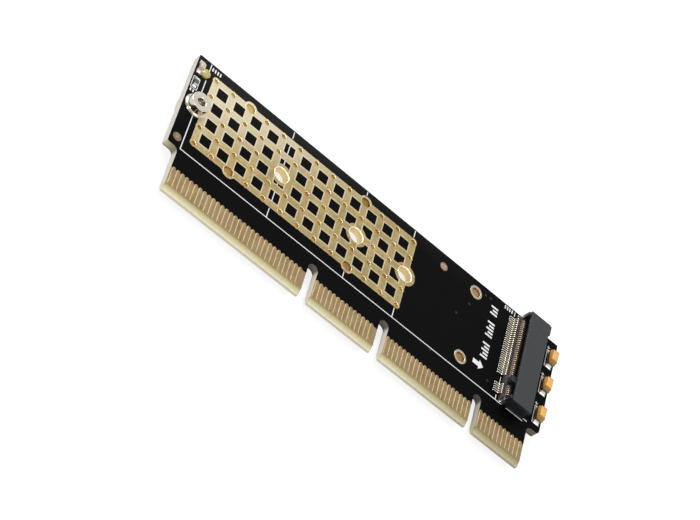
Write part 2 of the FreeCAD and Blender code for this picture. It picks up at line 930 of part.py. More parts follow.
def ribbon(path, thickness, v, width):
    """Strip of even thickness that follows (u, z) points, with mitred bends, width wide across v."""
    points = [FreeCAD.Vector(u, 0, z) for u, z in path]
    left, right = [], []
    for i, point in enumerate(points):
        ahead = (points[min(i + 1, len(points) - 1)] - point)
        behind = (point - points[max(i - 1, 0)])
        if ahead.Length == 0:
            ahead = behind
        if behind.Length == 0:
            behind = ahead
        normal_1 = FreeCAD.Vector(-behind.z, 0, behind.x).normalize()
        normal_2 = FreeCAD.Vector(-ahead.z, 0, ahead.x).normalize()
        mitre = (normal_1 + normal_2).normalize()
        reach = thickness / 2 / mitre.dot(normal_1)
        left.append(point + mitre * reach)
        right.append(point - mitre * reach)
    outline = left + right[::-1]
    corners = [place(corner.x, v - width / 2, corner.z) for corner in outline]
    return Part.Face(Part.makePolygon(corners + corners[:1])).extrude(FreeCAD.Vector(0, width, 0))


def lower_pin(row):
    half = pin_thickness / 2
    tail_z = copper_z + half
    tail_end = socket_front - tail_reach
    heel = tail_end + tail_length
    beam_z = face_z + lower_beam_height()
    floor_z = face_z + mouth_floor
    path = [
        (tail_end, tail_z), (heel, tail_z), (heel + 2 * pin_thickness, beam_z),
        (socket_front - 0.5 * lip_reach, beam_z), (socket_front - 0.2 * lip_reach, floor_z - half),
        (socket_front + 0.9 * lip_reach, floor_z - half)
    ]
    return ribbon(path, pin_thickness, centre_v + row, pin_width)


def upper_pin(row):
    half = pin_thickness / 2
    tail_z = copper_z + half
    riser = rear_riser_u()
    beam_z = face_z + socket_height - slot_wall - pin_thickness
    mouth_z = face_z + mouth_ceiling
    path = [
        (socket_back + rear_tail_length, tail_z),
        (riser + pin_thickness, tail_z), (riser, tail_z + pin_thickness),
        (riser, beam_z - pin_thickness), (riser - pin_thickness, beam_z),
        (socket_front + 1.6 * lip_reach, beam_z), (socket_front + lip_reach, mouth_z - half),
        (socket_front + 0.7 * lip_reach, mouth_z + half)
    ]
    return ribbon(path, pin_thickness, centre_v + row, pin_width)


def lower_contacts():
    return Part.makeCompound([lower_pin(row) for row in pin_rows(lower_pins)])


def upper_contacts():
    return Part.makeCompound([upper_pin(row) for row in pin_rows(upper_pins)])


def socket_anchors():
    """Bent tin plates that solder the housing's front corners to the board."""
    front = socket_front - cheek_reach
    half = pin_thickness / 2
    path = [
        (front - anchor_foot, copper_z + half), (front - half, copper_z + half),
        (front - half, face_z + anchor_height)
    ]
    return Part.makeCompound([ribbon(path, pin_thickness, v, anchor_width) for v in anchor_rows()])


# Small parts

def capacitor_body(row):
    """Moulded block, widest at mid height, with its lower end bevelled."""
    v = centre_v + row
    low = copper_z + terminal_thickness
    middle = low + (capacitor_height - terminal_thickness) / 2
    top = copper_z + capacitor_height
    wires = []
    for z, inset in ((low, capacitor_draft), (middle, 0), (top, capacitor_draft)):
        half_u = capacitor_width / 2 - inset
        half_v = capacitor_length / 2 - inset
        corners = [(-half_u, -half_v), (half_u, -half_v), (half_u, half_v), (-half_u, half_v)]
        points = [place(capacitor_u + du, v + dv, z) for du, dv in corners]
        wires.append(Part.makePolygon(points + points[:1]))
    lower = Part.makeLoft([wires[0], wires[1]], True, True)
    upper = Part.makeLoft([wires[1], wires[2]], True, True)
    bevel_edges = [
        edge for edge in upper.Edges
        if all(abs(vertex.Point.z - top) < 1e-6 for vertex in edge.Vertexes)
        and edge.CenterOfMass.y < v - origin_v - capacitor_length / 4
    ]
    upper = upper.makeChamfer(capacitor_bevel, bevel_edges)
    return merge([lower, upper])


def capacitor_terminals(row):
    half = terminal_thickness / 2
    v = centre_v + row
    terminals = []
    for side in (-1, 1):
        end = capacitor_length / 2
        points = [
            (end - terminal_run, 0), (end + terminal_thickness, 0), (end + terminal_thickness, terminal_rise),
            (end, terminal_rise), (end, terminal_thickness), (end - terminal_run, terminal_thickness)
        ]
        corners = [
            place(capacitor_u - terminal_width / 2, v + side * run, copper_z + rise) for run, rise in points
        ]
        face = Part.Face(Part.makePolygon(corners + corners[:1]))
        terminals.append(face.extrude(FreeCAD.Vector(terminal_width, 0, 0)))
    return Part.makeCompound(terminals)


def lens_centre():
    u, v = lamp_centre()
    return u + lens_shift_u, v + lens_shift_v


def lamp_housing():
    u, v = lamp_centre()
    lens_u, lens_v = lens_centre()
    half_v = lamp_length / 2 - lamp_terminal_length
    low = copper_z
    core = box(u - lamp_width / 2, u + lamp_width / 2, v - half_v, v + half_v, low, low + lamp_height)
    arm = box(u, lens_u, lens_v - lens_radius * 0.7, lens_v + lens_radius * 0.7, low, low + lamp_height * 0.7)
    return merge([core, arm]).cut(cylinder(lens_u, lens_v, lens_radius, low, low + lamp_height))


def lamp_lens():
    """Round resin window with a crowned top."""
    u, v = lens_centre()
    shoulder = copper_z + lens_height - lens_crown
    sphere_radius = (lens_radius ** 2 + lens_crown ** 2) / (2 * lens_crown)
    crown = Part.makeSphere(sphere_radius, place(u, v, shoulder + lens_crown - sphere_radius))
    return cylinder(u, v, lens_radius, copper_z, copper_z + lens_height).common(
        merge([crown, cylinder(u, v, lens_radius, copper_z, shoulder)])
    )


def lamp_terminals():
    u, v = lamp_centre()
    half = lamp_width / 2
    terminals = []
    for side in (-1, 1):
        inner = v + side * (lamp_length / 2 - lamp_terminal_length)
        outer = v + side * lamp_length / 2
        v_low, v_high = sorted((inner, outer))
        terminals.append(box(u - half, u + half, v_low, v_high, copper_z, copper_z + lamp_terminal_height))
    return Part.makeCompound(terminals).cut(lamp_housing()).cut(lamp_lens())


def resistor_body():
    u, v = resistor_centre()
    half_u = resistor_width / 2 - end_cap_wall
    half_v = resistor_length / 2 - end_cap_wall
    low = copper_z + end_cap_wall
    core = box(u - half_u, u + half_u, v - half_v, v + half_v, low, low + resistor_height)
    return core


def resistor_end_caps():
    u, v = resistor_centre()
    caps = []
    for side in (-1, 1):
        outer = v + side * resistor_length / 2
        inner = outer - side * end_cap_length
        v_low, v_high = sorted((inner, outer))
        caps.append(box(u - resistor_width / 2, u + resistor_width / 2, v_low, v_high,
                        copper_z, copper_z + resistor_height + 2 * end_cap_wall))
    return Part.makeCompound(caps).cut(resistor_body())


def all_nodes():
    nodes = {
        "circuit_board": circuit_board(),
        "solder_mask_front": mask_front(),
        "solder_mask_back": mask_back(),
        "heat_grid": heat_grid(),
        "heat_vias": heat_vias(),
        "edge_contacts_front": edge_contacts(laminate_front),
        "edge_contacts_back": edge_contacts(laminate_back - copper_thickness),
        "module_hole_plating": module_hole_plating(),
        "standoff_hole_plating": standoff_hole_plating(),
        "sink_hole_plating": sink_hole_plating(),
        "alignment_dots": raised_group(dot_faces(), laminate_front, copper_thickness),
        "printed_marks": print_front(),
        "socket_pads": raised_group(pin_pad_faces() + anchor_pad_faces(), laminate_front, copper_thickness),
        "capacitor_pads": raised_group(capacitor_pad_faces(), laminate_front, copper_thickness),
        "lamp_pads": raised_group(lamp_pad_faces(), laminate_front, copper_thickness),
        "resistor_pads": raised_group(resistor_pad_faces(), laminate_front, copper_thickness),
        "standoff": standoff(),
        "standoff_nut": standoff_nut(),
        "socket_housing": socket_housing(),
        "socket_lower_contacts": lower_contacts(),
        "socket_upper_contacts": upper_contacts(),
        "socket_anchors": socket_anchors(),
        "lamp_housing": lamp_housing(),
        "lamp_lens": lamp_lens(),
        "lamp_terminals": lamp_terminals(),
        "resistor_body": resistor_body(),
        "resistor_end_caps": resistor_end_caps(),
    }
    for number, row in enumerate(capacitor_rows, start=1):
        nodes["capacitor_%d_body" % number] = capacitor_body(row)
        nodes["capacitor_%d_terminals" % number] = capacitor_terminals(row)
    return nodes


os.makedirs("parts", exist_ok=True)
for name, shape in all_nodes().items():
    shape.exportStep("parts/%s.step" % name)
    print(name, len(shape.Solids), round(shape.Volume, 3), shape.isValid())
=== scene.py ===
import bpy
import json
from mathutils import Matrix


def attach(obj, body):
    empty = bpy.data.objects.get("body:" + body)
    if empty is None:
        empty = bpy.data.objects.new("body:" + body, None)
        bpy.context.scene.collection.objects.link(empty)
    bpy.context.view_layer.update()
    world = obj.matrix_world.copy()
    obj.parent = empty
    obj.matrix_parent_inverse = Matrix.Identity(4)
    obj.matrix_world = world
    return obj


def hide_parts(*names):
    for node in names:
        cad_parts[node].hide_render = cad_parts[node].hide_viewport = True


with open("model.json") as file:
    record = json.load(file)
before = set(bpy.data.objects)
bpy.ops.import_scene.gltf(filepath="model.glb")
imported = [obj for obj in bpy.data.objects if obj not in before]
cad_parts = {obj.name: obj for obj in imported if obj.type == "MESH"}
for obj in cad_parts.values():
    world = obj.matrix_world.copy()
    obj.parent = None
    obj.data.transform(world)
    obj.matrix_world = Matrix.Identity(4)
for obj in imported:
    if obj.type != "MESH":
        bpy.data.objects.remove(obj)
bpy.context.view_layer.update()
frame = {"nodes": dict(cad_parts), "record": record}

import json
import math
import bmesh
import bpy
import numpy as np
from mathutils import Vector

nodes = frame["nodes"]
mm = 0.001
print("frame loaded:", len(nodes), "nodes")

# Heights of the board's layers and the card's own lines, in millimetres.
# u runs from the key notch towards the socket, v from the contact edge, as in the part's source.
card = {
    "originU": -29.75, "originV": 16.1, "centre": 20.95, "standoffU": -71.8,
    "copperBack": 1.2, "laminateBack": 1.245, "laminateFront": 2.745, "face": 2.78, "copper": 2.79,
}


def atCard(u, v, z):
    # x = u - originU, y = v - originV, z as it is; any of the three may be an array
    u, v, z = np.broadcast_arrays(np.asarray(u, float), v, z)
    return np.stack([u - card["originU"], v - card["originV"], z], -1)


# Camera at the photograph's viewing angle, with its roll
cameraSetup = {
    "place": (-0.17192, -0.3134, 0.28848),  # metres
    "turn": (33.789, -40.9708, 16.1086),  # degrees about x, y and z
    "lens": 133.09,  # mm, on a sensor 36 mm wide
}


def makeCamera(setup):
    data = bpy.data.cameras.new("viewCamera")
    data.lens = setup["lens"]
    data.sensor_width = 36
    data.clip_start = 0.01
    camera = bpy.data.objects.new("viewCamera", data)
    camera.location = setup["place"]
    camera.rotation_euler = [math.radians(angle) for angle in setup["turn"]]
    bpy.context.scene.collection.objects.link(camera)
    bpy.context.scene.camera = camera


makeCamera(cameraSetup)


# Shader nodes: a Wire is one output socket, and sums on it add Math nodes
class Wire:
    def __init__(self, net, socket):
        self.net = net
        self.socket = socket

    def math(self, operation, *others):
        return self.net.add("ShaderNodeMath", {"operation": operation}, self, *others)

    def __add__(self, other):
        return self.math("ADD", other)

    def __sub__(self, other):
        return self.math("SUBTRACT", other)

    def __rsub__(self, other):
        return self.net.add("ShaderNodeMath", {"operation": "SUBTRACT"}, other, self)

    def __mul__(self, other):
        return self.math("MULTIPLY", other)

    def __gt__(self, other):
        return self.math("GREATER_THAN", other)

    def __lt__(self, other):
        return self.math("LESS_THAN", other)

    def __abs__(self):
        return self.math("ABSOLUTE")

    __radd__ = __add__
    __rmul__ = __mul__


class Net:
    def __init__(self, tree):
        self.tree = tree
        tree.nodes.clear()

    def add(self, kind, settings=None, *inputs, out=0, **named):
        # Settings go first, then sockets by their order, then by name, with an underscore for a space
        node = self.tree.nodes.new(kind)
        for key, value in (settings or {}).items():
            if key == "stops":
                self.setStops(node.color_ramp, value)
            else:
                setattr(node, key, value)
        for index, value in enumerate(inputs):
            self.feed(node.inputs[index], value)
        for name, value in named.items():
            self.feed(node.inputs[name.replace("_", " ")], value)
        return Wire(self, node.outputs[out]) if len(node.outputs) else node

    def setStops(self, ramp, stops):
        while len(ramp.elements) < len(stops):
            ramp.elements.new(0.5)
        for element, (place, color) in zip(ramp.elements, stops):
            element.position = place
            element.color = (*color, 1) if isinstance(color, tuple) else (color, color, color, 1)

    def feed(self, socket, value):
        if value is None:
            return
        if isinstance(value, Wire):
            self.tree.links.new(value.socket, socket)
        elif socket.type == "RGBA" and len(value) == 3:
            socket.default_value = (*value, 1)
        else:
            socket.default_value = value

    def coords(self):
        return self.add("ShaderNodeTexCoord", out="Object")

    def split(self, vector):
        outputs = self.add("ShaderNodeSeparateXYZ", None, vector).socket.node.outputs
        return [Wire(self, output) for output in outputs]

    def stretch(self, vector, scale):
        return self.add("ShaderNodeMapping", None, vector, Scale=scale)

    def noise(self, vector, scale, detail=3.0, rough=0.55):
        return self.add("ShaderNodeTexNoise", None, vector, Scale=scale, Detail=detail, Roughness=rough)

    def cells(self, vector, scale):
        return self.add("ShaderNodeTexVoronoi", None, vector, Scale=scale)

    def ramp(self, value, *stops):
        return self.add("ShaderNodeValToRGB", {"stops": stops}, value)

    def span(self, value, low, high, toLow=0.0, toHigh=1.0):
        return self.add("ShaderNodeMapRange", {"clamp": True}, value, low, high, toLow, toHigh)

    def blend(self, factor, first, second, mode="MIX"):
        # The colour inputs of a Mix node come after those for numbers and vectors
        return self.add("ShaderNodeMix", {"data_type": "RGBA", "blend_type": mode},
                        factor, None, None, None, None, None, first, second, out=2)

    def tint(self, color, by, factor=1.0):
        # Goes from the colour to its product with another as the factor goes from 0 to 1
        return self.blend(factor, color, by, "MULTIPLY")

    def bump(self, height, strength, distance):
        return self.add("ShaderNodeBump", None, strength, distance, Height=height)


def makeLook(name, build):
    # build(net, coords) gives the Principled shader's inputs by name
    material = bpy.data.materials.new(name)
    material.use_nodes = True
    net = Net(material.node_tree)
    shader = net.add("ShaderNodeBsdfPrincipled", None, **build(net, net.coords()))
    net.add("ShaderNodeOutputMaterial", None, shader)
    return material


# Studio: soft lamps, a plain world, and a pale floor that keeps the shadow
studio = {
    "worldStrength": 0.34,
    "floorSize": 6.0,
    "floorDrop": 0.00002,
    "floorColor": (0.26, 0.26, 0.26),
    "floorGlow": 0.83,
    "lamps": {
        # place in metres, diameter in metres, watts; each aims at the card
        "keyLamp": ((-0.30, -0.22, 0.20), 0.16, 0.75),
        "topLamp": ((-0.40, 1.24, 1.44), 0.80, 20.0),
        "fillLamp": ((0.40, -0.20, 0.90), 0.60, 2.6),
    },
}


def seenRays(net):
    # 1 for rays from the camera and for those that metal and glass send on, else 0
    outputs = net.add("ShaderNodeLightPath").socket.node.outputs
    wires = [Wire(net, outputs[name]) for name in ("Is Camera Ray", "Is Glossy Ray", "Is Transmission Ray")]
    return (wires[0] + wires[1] + wires[2]).math("MINIMUM", 1.0)


def makeWorld(setup):
    world = bpy.data.worlds.new("studioWorld")
    bpy.context.scene.world = world
    world.use_nodes = True
    net = Net(world.node_tree)
    strength = seenRays(net) * (1 - setup["worldStrength"]) + setup["worldStrength"]
    net.add("ShaderNodeOutputWorld", None, net.add("ShaderNodeBackground", None, (1, 1, 1), strength))


def makeFloor(setup):
    half, under = setup["floorSize"] / 2, -setup["floorDrop"]
    corners = [(-half, -half, under), (half, -half, under), (half, half, under), (-half, half, under)]
    mesh = bpy.data.meshes.new("floor")
    mesh.from_pydata(corners, [], [(0, 1, 2, 3)])
    floor = bpy.data.objects.new("floor", mesh)
    bpy.context.scene.collection.objects.link(floor)
    material = bpy.data.materials.new("paleFloor")
    material.use_nodes = True
    net = Net(material.node_tree)
    diffuse = net.add("ShaderNodeBsdfDiffuse", None, setup["floorColor"])
    glow = net.add("ShaderNodeEmission", None, (1, 1, 1), seenRays(net) * setup["floorGlow"])
    net.add("ShaderNodeOutputMaterial", None, net.add("ShaderNodeAddShader", None, diffuse, glow))
    mesh.materials.append(material)


def makeLamps(setup):
    for name, (place, size, watts) in setup["lamps"].items():
        data = bpy.data.lights.new(name, "AREA")
        data.shape = "DISK"
        data.size = size
        data.energy = watts
        lamp = bpy.data.objects.new(name, data)
        lamp.location = place
        lamp.rotation_euler = (-Vector(place)).to_track_quat("-Z", "Y").to_euler()
        bpy.context.scene.collection.objects.link(lamp)


makeWorld(studio)
makeFloor(studio)
makeLamps(studio)
print("studio ready")


# Surfaces: distances at which points are joined, in metres, and angles in degrees
meshing = {
    "joinReach": 3e-8, "nodeJoinReach": 1e-7, "flatAngle": 1, "cornerAngle": 40, "sharpAngle": 38,
    "roundedSharpAngle": 35, "squareShare": 0.9995,
}


def buildPiece(name, stacks, look, replaced=(), sharp=meshing["sharpAngle"]):
    # A stack is (pieces, rows, columns, 3) in mm: point (i, j) makes a quad with (i, j+1), (i+1, j+1) and (i+1, j),
    # and the last column joins the first. Points that meet are merged, which closes poles and loops.
    points, quads, offset = [], [], 0
    for stack in stacks:
        count, rows, columns = stack.shape[:3]
        i, j = np.meshgrid(np.arange(rows - 1), np.arange(columns), indexing="ij")
        k = (j + 1) % columns
        quad = np.stack([i * columns + j, i * columns + k, (i + 1) * columns + k, (i + 1) * columns + j], -1)
        starts = offset + np.arange(count) * rows * columns
        quads.append((quad.reshape(1, -1, 4) + starts[:, None, None]).reshape(-1, 4))
        points.append(stack.reshape(-1, 3))
        offset += count * rows * columns
    mesh = bpy.data.meshes.new(name)
    mesh.from_pydata(np.concatenate(points) * mm, [], np.concatenate(quads))
    finishPiece(name, mesh, look, replaced, sharp)


def finishPiece(name, mesh, look, replaced, sharp):
    work = bmesh.new()
    work.from_mesh(mesh)
    bmesh.ops.remove_doubles(work, verts=work.verts, dist=meshing["joinReach"])
    bmesh.ops.recalc_face_normals(work, faces=work.faces)
    work.to_mesh(mesh)
    work.free()
    mesh.polygons.foreach_set("use_smooth", np.ones(len(mesh.polygons), bool))
    mesh.set_sharp_from_angle(angle=math.radians(sharp))
    mesh.materials.clear()
    mesh.materials.append(look)
    piece = bpy.data.objects.new(name, mesh)
    bpy.context.scene.collection.objects.link(piece)
    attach(piece, "root")
    if replaced:
        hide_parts(*replaced)
    print("piece", name, len(mesh.polygons), "faces")


def roundedCopy(name, node, look, width):
    # The node's own solid with its sharp edges turned by a small radius; faces square to an axis stay flat
    work = bmesh.new()
    work.from_mesh(nodes[node].data)
    bmesh.ops.remove_doubles(work, verts=work.verts, dist=meshing["nodeJoinReach"])
    bmesh.ops.dissolve_limit(work, angle_limit=math.radians(meshing["flatAngle"]), verts=work.verts,
                             edges=work.edges)
    corner = math.radians(meshing["cornerAngle"])
    edges = [edge for edge in work.edges if len(edge.link_faces) == 2 and edge.calc_face_angle(0) > corner]
    bmesh.ops.bevel(work, geom=edges, offset=width * mm, offset_type="OFFSET", segments=2, profile=0.5,
                    affect="EDGES", clamp_overlap=True)
    mesh = bpy.data.meshes.new(name)
    work.to_mesh(mesh)
    work.free()
    finishPiece(name, mesh, look, [node], meshing["roundedSharpAngle"])
    normals = np.empty(len(mesh.polygons) * 3, np.float32)
    mesh.polygons.foreach_get("normal", normals)
    square = np.abs(normals.reshape(-1, 3)).max(axis=1) >= meshing["squareShare"]
    mesh.polygons.foreach_set("use_smooth", ~square)


def outline(halfU, halfV, radius, perCorner=4):
    # Round a rectangle: corner centre + radius (cos a, sin a), a quarter turn at each corner
    angles = (np.arange(4)[:, None] + np.linspace(0, 1, perCorner)).ravel() * math.pi / 2
    signs = np.repeat([[1, 1], [-1, 1], [-1, -1], [1, -1]], perCorner, axis=0)
    centres = signs * [max(halfU - radius, 0), max(halfV - radius, 0)]
    return centres + radius * np.stack([np.cos(angles), np.sin(angles)], -1)


def slab(halfU, halfV, radius, steps, perCorner=4):
    # Block of rounded outlines: step (inset, height) draws the outline in by the inset, and both ends close at the
    # middle
    rows = [
        np.insert(outline(halfU - inset, halfV - inset, max(radius - inset, 0.01), perCorner), 2, height, axis=1)
        for inset, height in steps
    ]
    first, last = rows[0] * [0, 0, 1], rows[-1] * [0, 0, 1]
    return np.stack([first, *rows, last])


def lathe(profile, columns=48):
    # Profile of (radius, height) turned about z: (r cos a, r sin a, z)
    profile = np.asarray(profile, float)
    turn = np.linspace(0, 2 * math.pi, columns, endpoint=False)
    radius, height = profile[:, :1], profile[:, 1:]
    return np.stack([radius * np.cos(turn), radius * np.sin(turn), height + 0 * turn], -1)


def bend(points, radius, steps=4):
    # Rounds a path's corners: (1-s)^2 A + 2s(1-s) C + s^2 B, with A and B a radius before and after corner C, and at
    # most just under half of the shorter leg
    points = np.asarray(points, float)
    before, corner, after = points[:-2], points[1:-1], points[2:]
    reach = np.minimum(radius, 0.49 * np.minimum(*(np.linalg.norm(p - corner, axis=1) for p in (before, after))))
    start = corner + (before - corner) / np.linalg.norm(before - corner, axis=1)[:, None] * reach[:, None]
    finish = corner + (after - corner) / np.linalg.norm(after - corner, axis=1)[:, None] * reach[:, None]
    s = np.linspace(0, 1, steps)[None, :, None]
    curve = (1 - s) ** 2 * start[:, None] + 2 * s * (1 - s) * corner[:, None] + s ** 2 * finish[:, None]
    return np.concatenate([points[:1], curve.reshape(-1, points.shape[1]), points[-1:]])


def sweep(path, across, section):
    # Carries a closed section along a flat path: path + a side + b across, side = across x direction. Ends close.
    path, across = np.asarray(path, float), np.asarray(across, float)
    direction = np.gradient(path, axis=0)
    direction /= np.linalg.norm(direction, axis=1)[:, None]
    side = np.cross(across, direction)
    section = np.asarray(section, float)
    tube = path[:, None] + section[None, :, :1] * side[:, None] + section[None, :, 1:] * across
    middle = np.repeat(path[:, None], len(section), axis=1)
    return np.concatenate([middle[:1], tube, middle[-1:]])


def place(block, positions):
    # Repeats a block at each position
    return block[None] + np.asarray(positions, float).reshape(-1, 1, 1, 3)


# Looks, one for each finish. They read Object coordinates, so the places in them are metres in the row's frame.
laminateFinish = {
    "middle": 0.001995, "skinStart": 0.000738,  # the skin starts this far above and below the middle
    "threads": 14000, "layers": 34900,  # radians per metre, along the cloth and through the layers
    "skin": ((0.20, 0.135, 0.06), (0.34, 0.25, 0.12)),
    "cut": ((0.95, 0.89, 0.79), (0.74, 0.68, 0.56)),
    "tongueEdge": -0.01475, "tongueTint": (1.04, 1.03, 0.88),  # nearer than this, the cut walls are yellower
    "bevelLow": 0.00226, "bandHeights": (0.00227, 0.00275), "bandWave": 0.00007,
    "bands": ((0.0, (0.79, 0.75, 0.55)), (0.42, (0.60, 0.545, 0.33)), (0.68, (0.49, 0.43, 0.19)),
              (0.88, (0.33, 0.265, 0.08)), (1.0, (0.21, 0.15, 0.045))),
    "darkSpecks": (0.42, 0.39, 0.24), "paleSpecks": (0.85, 0.81, 0.62),
    # Painted shade on the cut walls that face the contact edge, darker at their foot
    "notchEnd": (-0.0092, -0.0085), "notchStop": -0.0075, "notchReach": 0.0405, "notchShadeTint": (0.15, 0.148, 0.14),
    "shoulder": (-0.0074, -0.0067), "shoulderStop": -0.0061, "shoulderLeft": (-0.0445, -0.0429),
    "shoulderShadeTints": ((0.78, 0.70, 0.47), (0.27, 0.255, 0.20)),
    "foot": (0.00150, 0.00130), "footShadeColor": (0.04, 0.038, 0.03),
    # Painted shade on the cut edges towards the socket end
    "socketEnd": (0.010, 0.036), "socketEndShade": (0.64, 0.62, 0.55),
}


def laminateLook(net, coords):
    # Cut glass fibre is pale, with a layer line each 0.18 mm; the bevel shows the layers as bands; the skin is tan
    own = laminateFinish
    x, y, z = net.split(coords)
    skin = abs(z - own["middle"]) > own["skinStart"]
    weave = (x * own["threads"]).math("SINE") * (y * own["threads"]).math("SINE") * 0.5 + 0.5
    skinColor = net.blend(weave * 0.35 + net.noise(coords, 900, 4) * 0.3, *own["skin"])
    layers = (z * own["layers"]).math("SINE") * 0.5 + 0.5
    fibres = net.noise(net.stretch(coords, (1, 1, 4)), 5200, 5, 0.7)
    onTongue = y < own["tongueEdge"]
    cutColor = net.blend(layers * 0.35 + fibres * 0.3, *own["cut"])
    cutColor = net.tint(cutColor, own["tongueTint"], onTongue * 0.8)
    # Walls that face the contact edge get painted shade: the notches' round ends, and the shoulders beside the
    # tongue, darkest at their foot
    notchEnd = net.span(y, *own["notchEnd"]) * (y < own["notchStop"]) * (abs(x) < own["notchReach"])
    shoulder = net.span(y, *own["shoulder"]) * (y < own["shoulderStop"])
    wallShadeTint = net.blend(net.span(x, *own["shoulderLeft"]), *own["shoulderShadeTints"])
    paintedShade = net.tint(cutColor, net.blend(notchEnd, wallShadeTint, own["notchShadeTint"]))
    paintedShade = net.blend(net.span(z, *own["foot"]) * 0.7, paintedShade, own["footShadeColor"])
    cutColor = net.blend(notchEnd.math("MAXIMUM", shoulder), cutColor, paintedShade)
    # The bevel's bands run a little wavy, under darker and paler specks
    wavy = z + (net.noise(coords, 1500) - 0.5) * own["bandWave"]
    specks = net.noise(net.stretch(coords, (1, 1, 1.6)), 2800, 5, 0.8)
    bands = net.ramp(net.span(wavy, *own["bandHeights"]), *own["bands"])
    bevelColor = net.blend(net.span(specks, 0.42, 0.72, 0.0, 0.55), bands, own["darkSpecks"])
    bevelColor = net.blend(net.span(specks, 0.45, 0.25, 0.0, 0.4), bevelColor, own["paleSpecks"])
    edgeColor = net.blend((z > own["bevelLow"]) * onTongue, cutColor, bevelColor)
    # Painted shade: the cut edges and the bevel darken towards the socket end
    edgeColor = net.tint(edgeColor, own["socketEndShade"], net.span(x, *own["socketEnd"]))
    height = weave * 0.5 * skin + fibres * (1 - skin)
    return {"Base_Color": net.blend(skin, edgeColor, skinColor),
            "Roughness": net.span(fibres, 0.3, 0.7, 0.42, 0.62), "Normal": net.bump(height, 0.25, 0.00003)}


def nearCorner(net, x, y, reach):
    # 0 to 1 towards the upper left corner, where painted sheen and light are placed, as 2.5 y - x goes from the
    # reach's first value to its second
    return net.span(y * 2.5 - x, *reach)


maskFinish = {
    "film": ((0.0012, 0.0012, 0.0014), (0.003, 0.0028, 0.003)),
    "topEdge": (0.0125, 0.0163), "topEdgeFade": (0.03, -0.02), "corner": (0.040, 0.075), "cornerShare": 0.6,
    "paintedSheenGrey": (0.015, 0.015, 0.014), "dust": (0.03, 0.03, 0.034), "dustReach": 0.035,
}


def maskLook(net, coords):
    # Black film with a slight orange peel, a painted sheen along the top edge and near the corner, and fine dust
    own = maskFinish
    x, y, z = net.split(coords)
    cloudy = net.noise(coords, 160, 4)
    peel = net.noise(coords, 5500, 2, 0.5)
    dust = net.cells(coords, 900) < own["dustReach"]
    # Painted sheen along the top edge and near the corner
    paintedSheenMask = net.span(y, *own["topEdge"]) * net.span(x, *own["topEdgeFade"])
    paintedSheenMask = paintedSheenMask + nearCorner(net, x, y, own["corner"]) * own["cornerShare"]
    paintedSheenGrey = net.blend(paintedSheenMask, net.blend(cloudy, *own["film"]), own["paintedSheenGrey"])
    return {"Base_Color": net.blend(dust * 0.5, paintedSheenGrey, own["dust"]), "Specular_IOR_Level": 0.02,
            "Roughness": net.span(cloudy, 0.3, 0.7, 0.40, 0.52), "Normal": net.bump(peel, 0.12, 0.00002)}


def trackLook(net, coords):
    # The same film where copper lifts it: a shade lighter and smoother
    cloudy = net.noise(coords, 900, 3)
    return {"Base_Color": net.blend(cloudy, (0.008, 0.008, 0.0085), (0.014, 0.014, 0.0145)),
            "Roughness": net.span(cloudy, 0.3, 0.7, 0.30, 0.40), "Specular_IOR_Level": 0.2,
            "Normal": net.bump(cloudy, 0.1, 0.00002)}


# Painted light on the gold: the vias' rim colour, from rimLow up, is a painted highlight on the top of the walls, and
# both finishes take a painted light near the upper left corner
viaFinish = {
    "pale": (0.86, 0.69, 0.36), "deep": (0.66, 0.46, 0.20), "rough": 0.24, "grain": (1, 1, 0.6), "scale": 2400,
    "lift": 0.6, "rim": (0.98, 0.88, 0.64), "rimLow": 0.00252, "paintedCornerLight": (0.92, 0.82, 0.58),
}
sinkFinish = {
    "pale": (0.52, 0.35, 0.16), "deep": (0.33, 0.20, 0.07), "rough": 0.26, "grain": (1, 1, 0.6), "scale": 2400,
    "lift": 0.6, "rim": (0.45, 0.38, 0.27), "paintedCornerLight": (0.85, 0.77, 0.52),
}
lobes = {"right": 0.01, "top": 0.00276, "tint": (1.06, 0.98, 0.67)}  # where the grid's lobes end
nickelFinish = {
    "pale": (0.72, 0.68, 0.60), "deep": (0.56, 0.52, 0.44), "rough": 0.14, "grain": (1, 1, 6), "scale": 1800,
    "lift": 0.1,
}
tinFinish = {"pale": (0.70, 0.69, 0.66), "deep": (0.56, 0.55, 0.52), "rough": 0.27}


def goldLook(pale, deep, rough, grain=(1, 1, 1), scale=2600, lift=0.2, rim=None, rimLow=0.00276, paintedCornerLight=None):
    # Plated metal: colour and roughness wander with a fine grain, stretched along the polishing marks. A rim colour
    # takes over above the height rimLow (on the vias a painted highlight), and a painted light near the upper left
    # corner.
    def build(net, coords):
        x, y, z = net.split(coords)
        cloudy = net.noise(coords, 320, 4)
        marks = net.noise(net.stretch(coords, grain), scale, 5, 0.65)
        color = net.blend(net.span(cloudy + marks * 0.6, 0.55, 1.05), deep, pale)
        if rim:
            color = net.blend(net.span(z, rimLow, rimLow + 0.00002), color, rim)
        if paintedCornerLight:
            # Painted light near the upper left corner
            color = net.blend(nearCorner(net, x, y, (0.050, 0.070)) * 0.75, color, paintedCornerLight)
        return {"Base_Color": color, "Metallic": 1.0,
                "Roughness": net.span(marks, 0.3, 0.7, rough - 0.06, rough + 0.08),
                "Normal": net.bump(marks, lift, 0.000012)}
    return build


def sinkLook(net, coords):
    # Brown gold with a greyer rim; yellower inside the holes in the grid's lobes
    x, y, z = net.split(coords)
    surface = goldLook(**sinkFinish)(net, coords)
    inLobe = (x < lobes["right"]) * (z < lobes["top"])
    surface["Base_Color"] = net.tint(surface["Base_Color"], lobes["tint"], inLobe)
    return surface


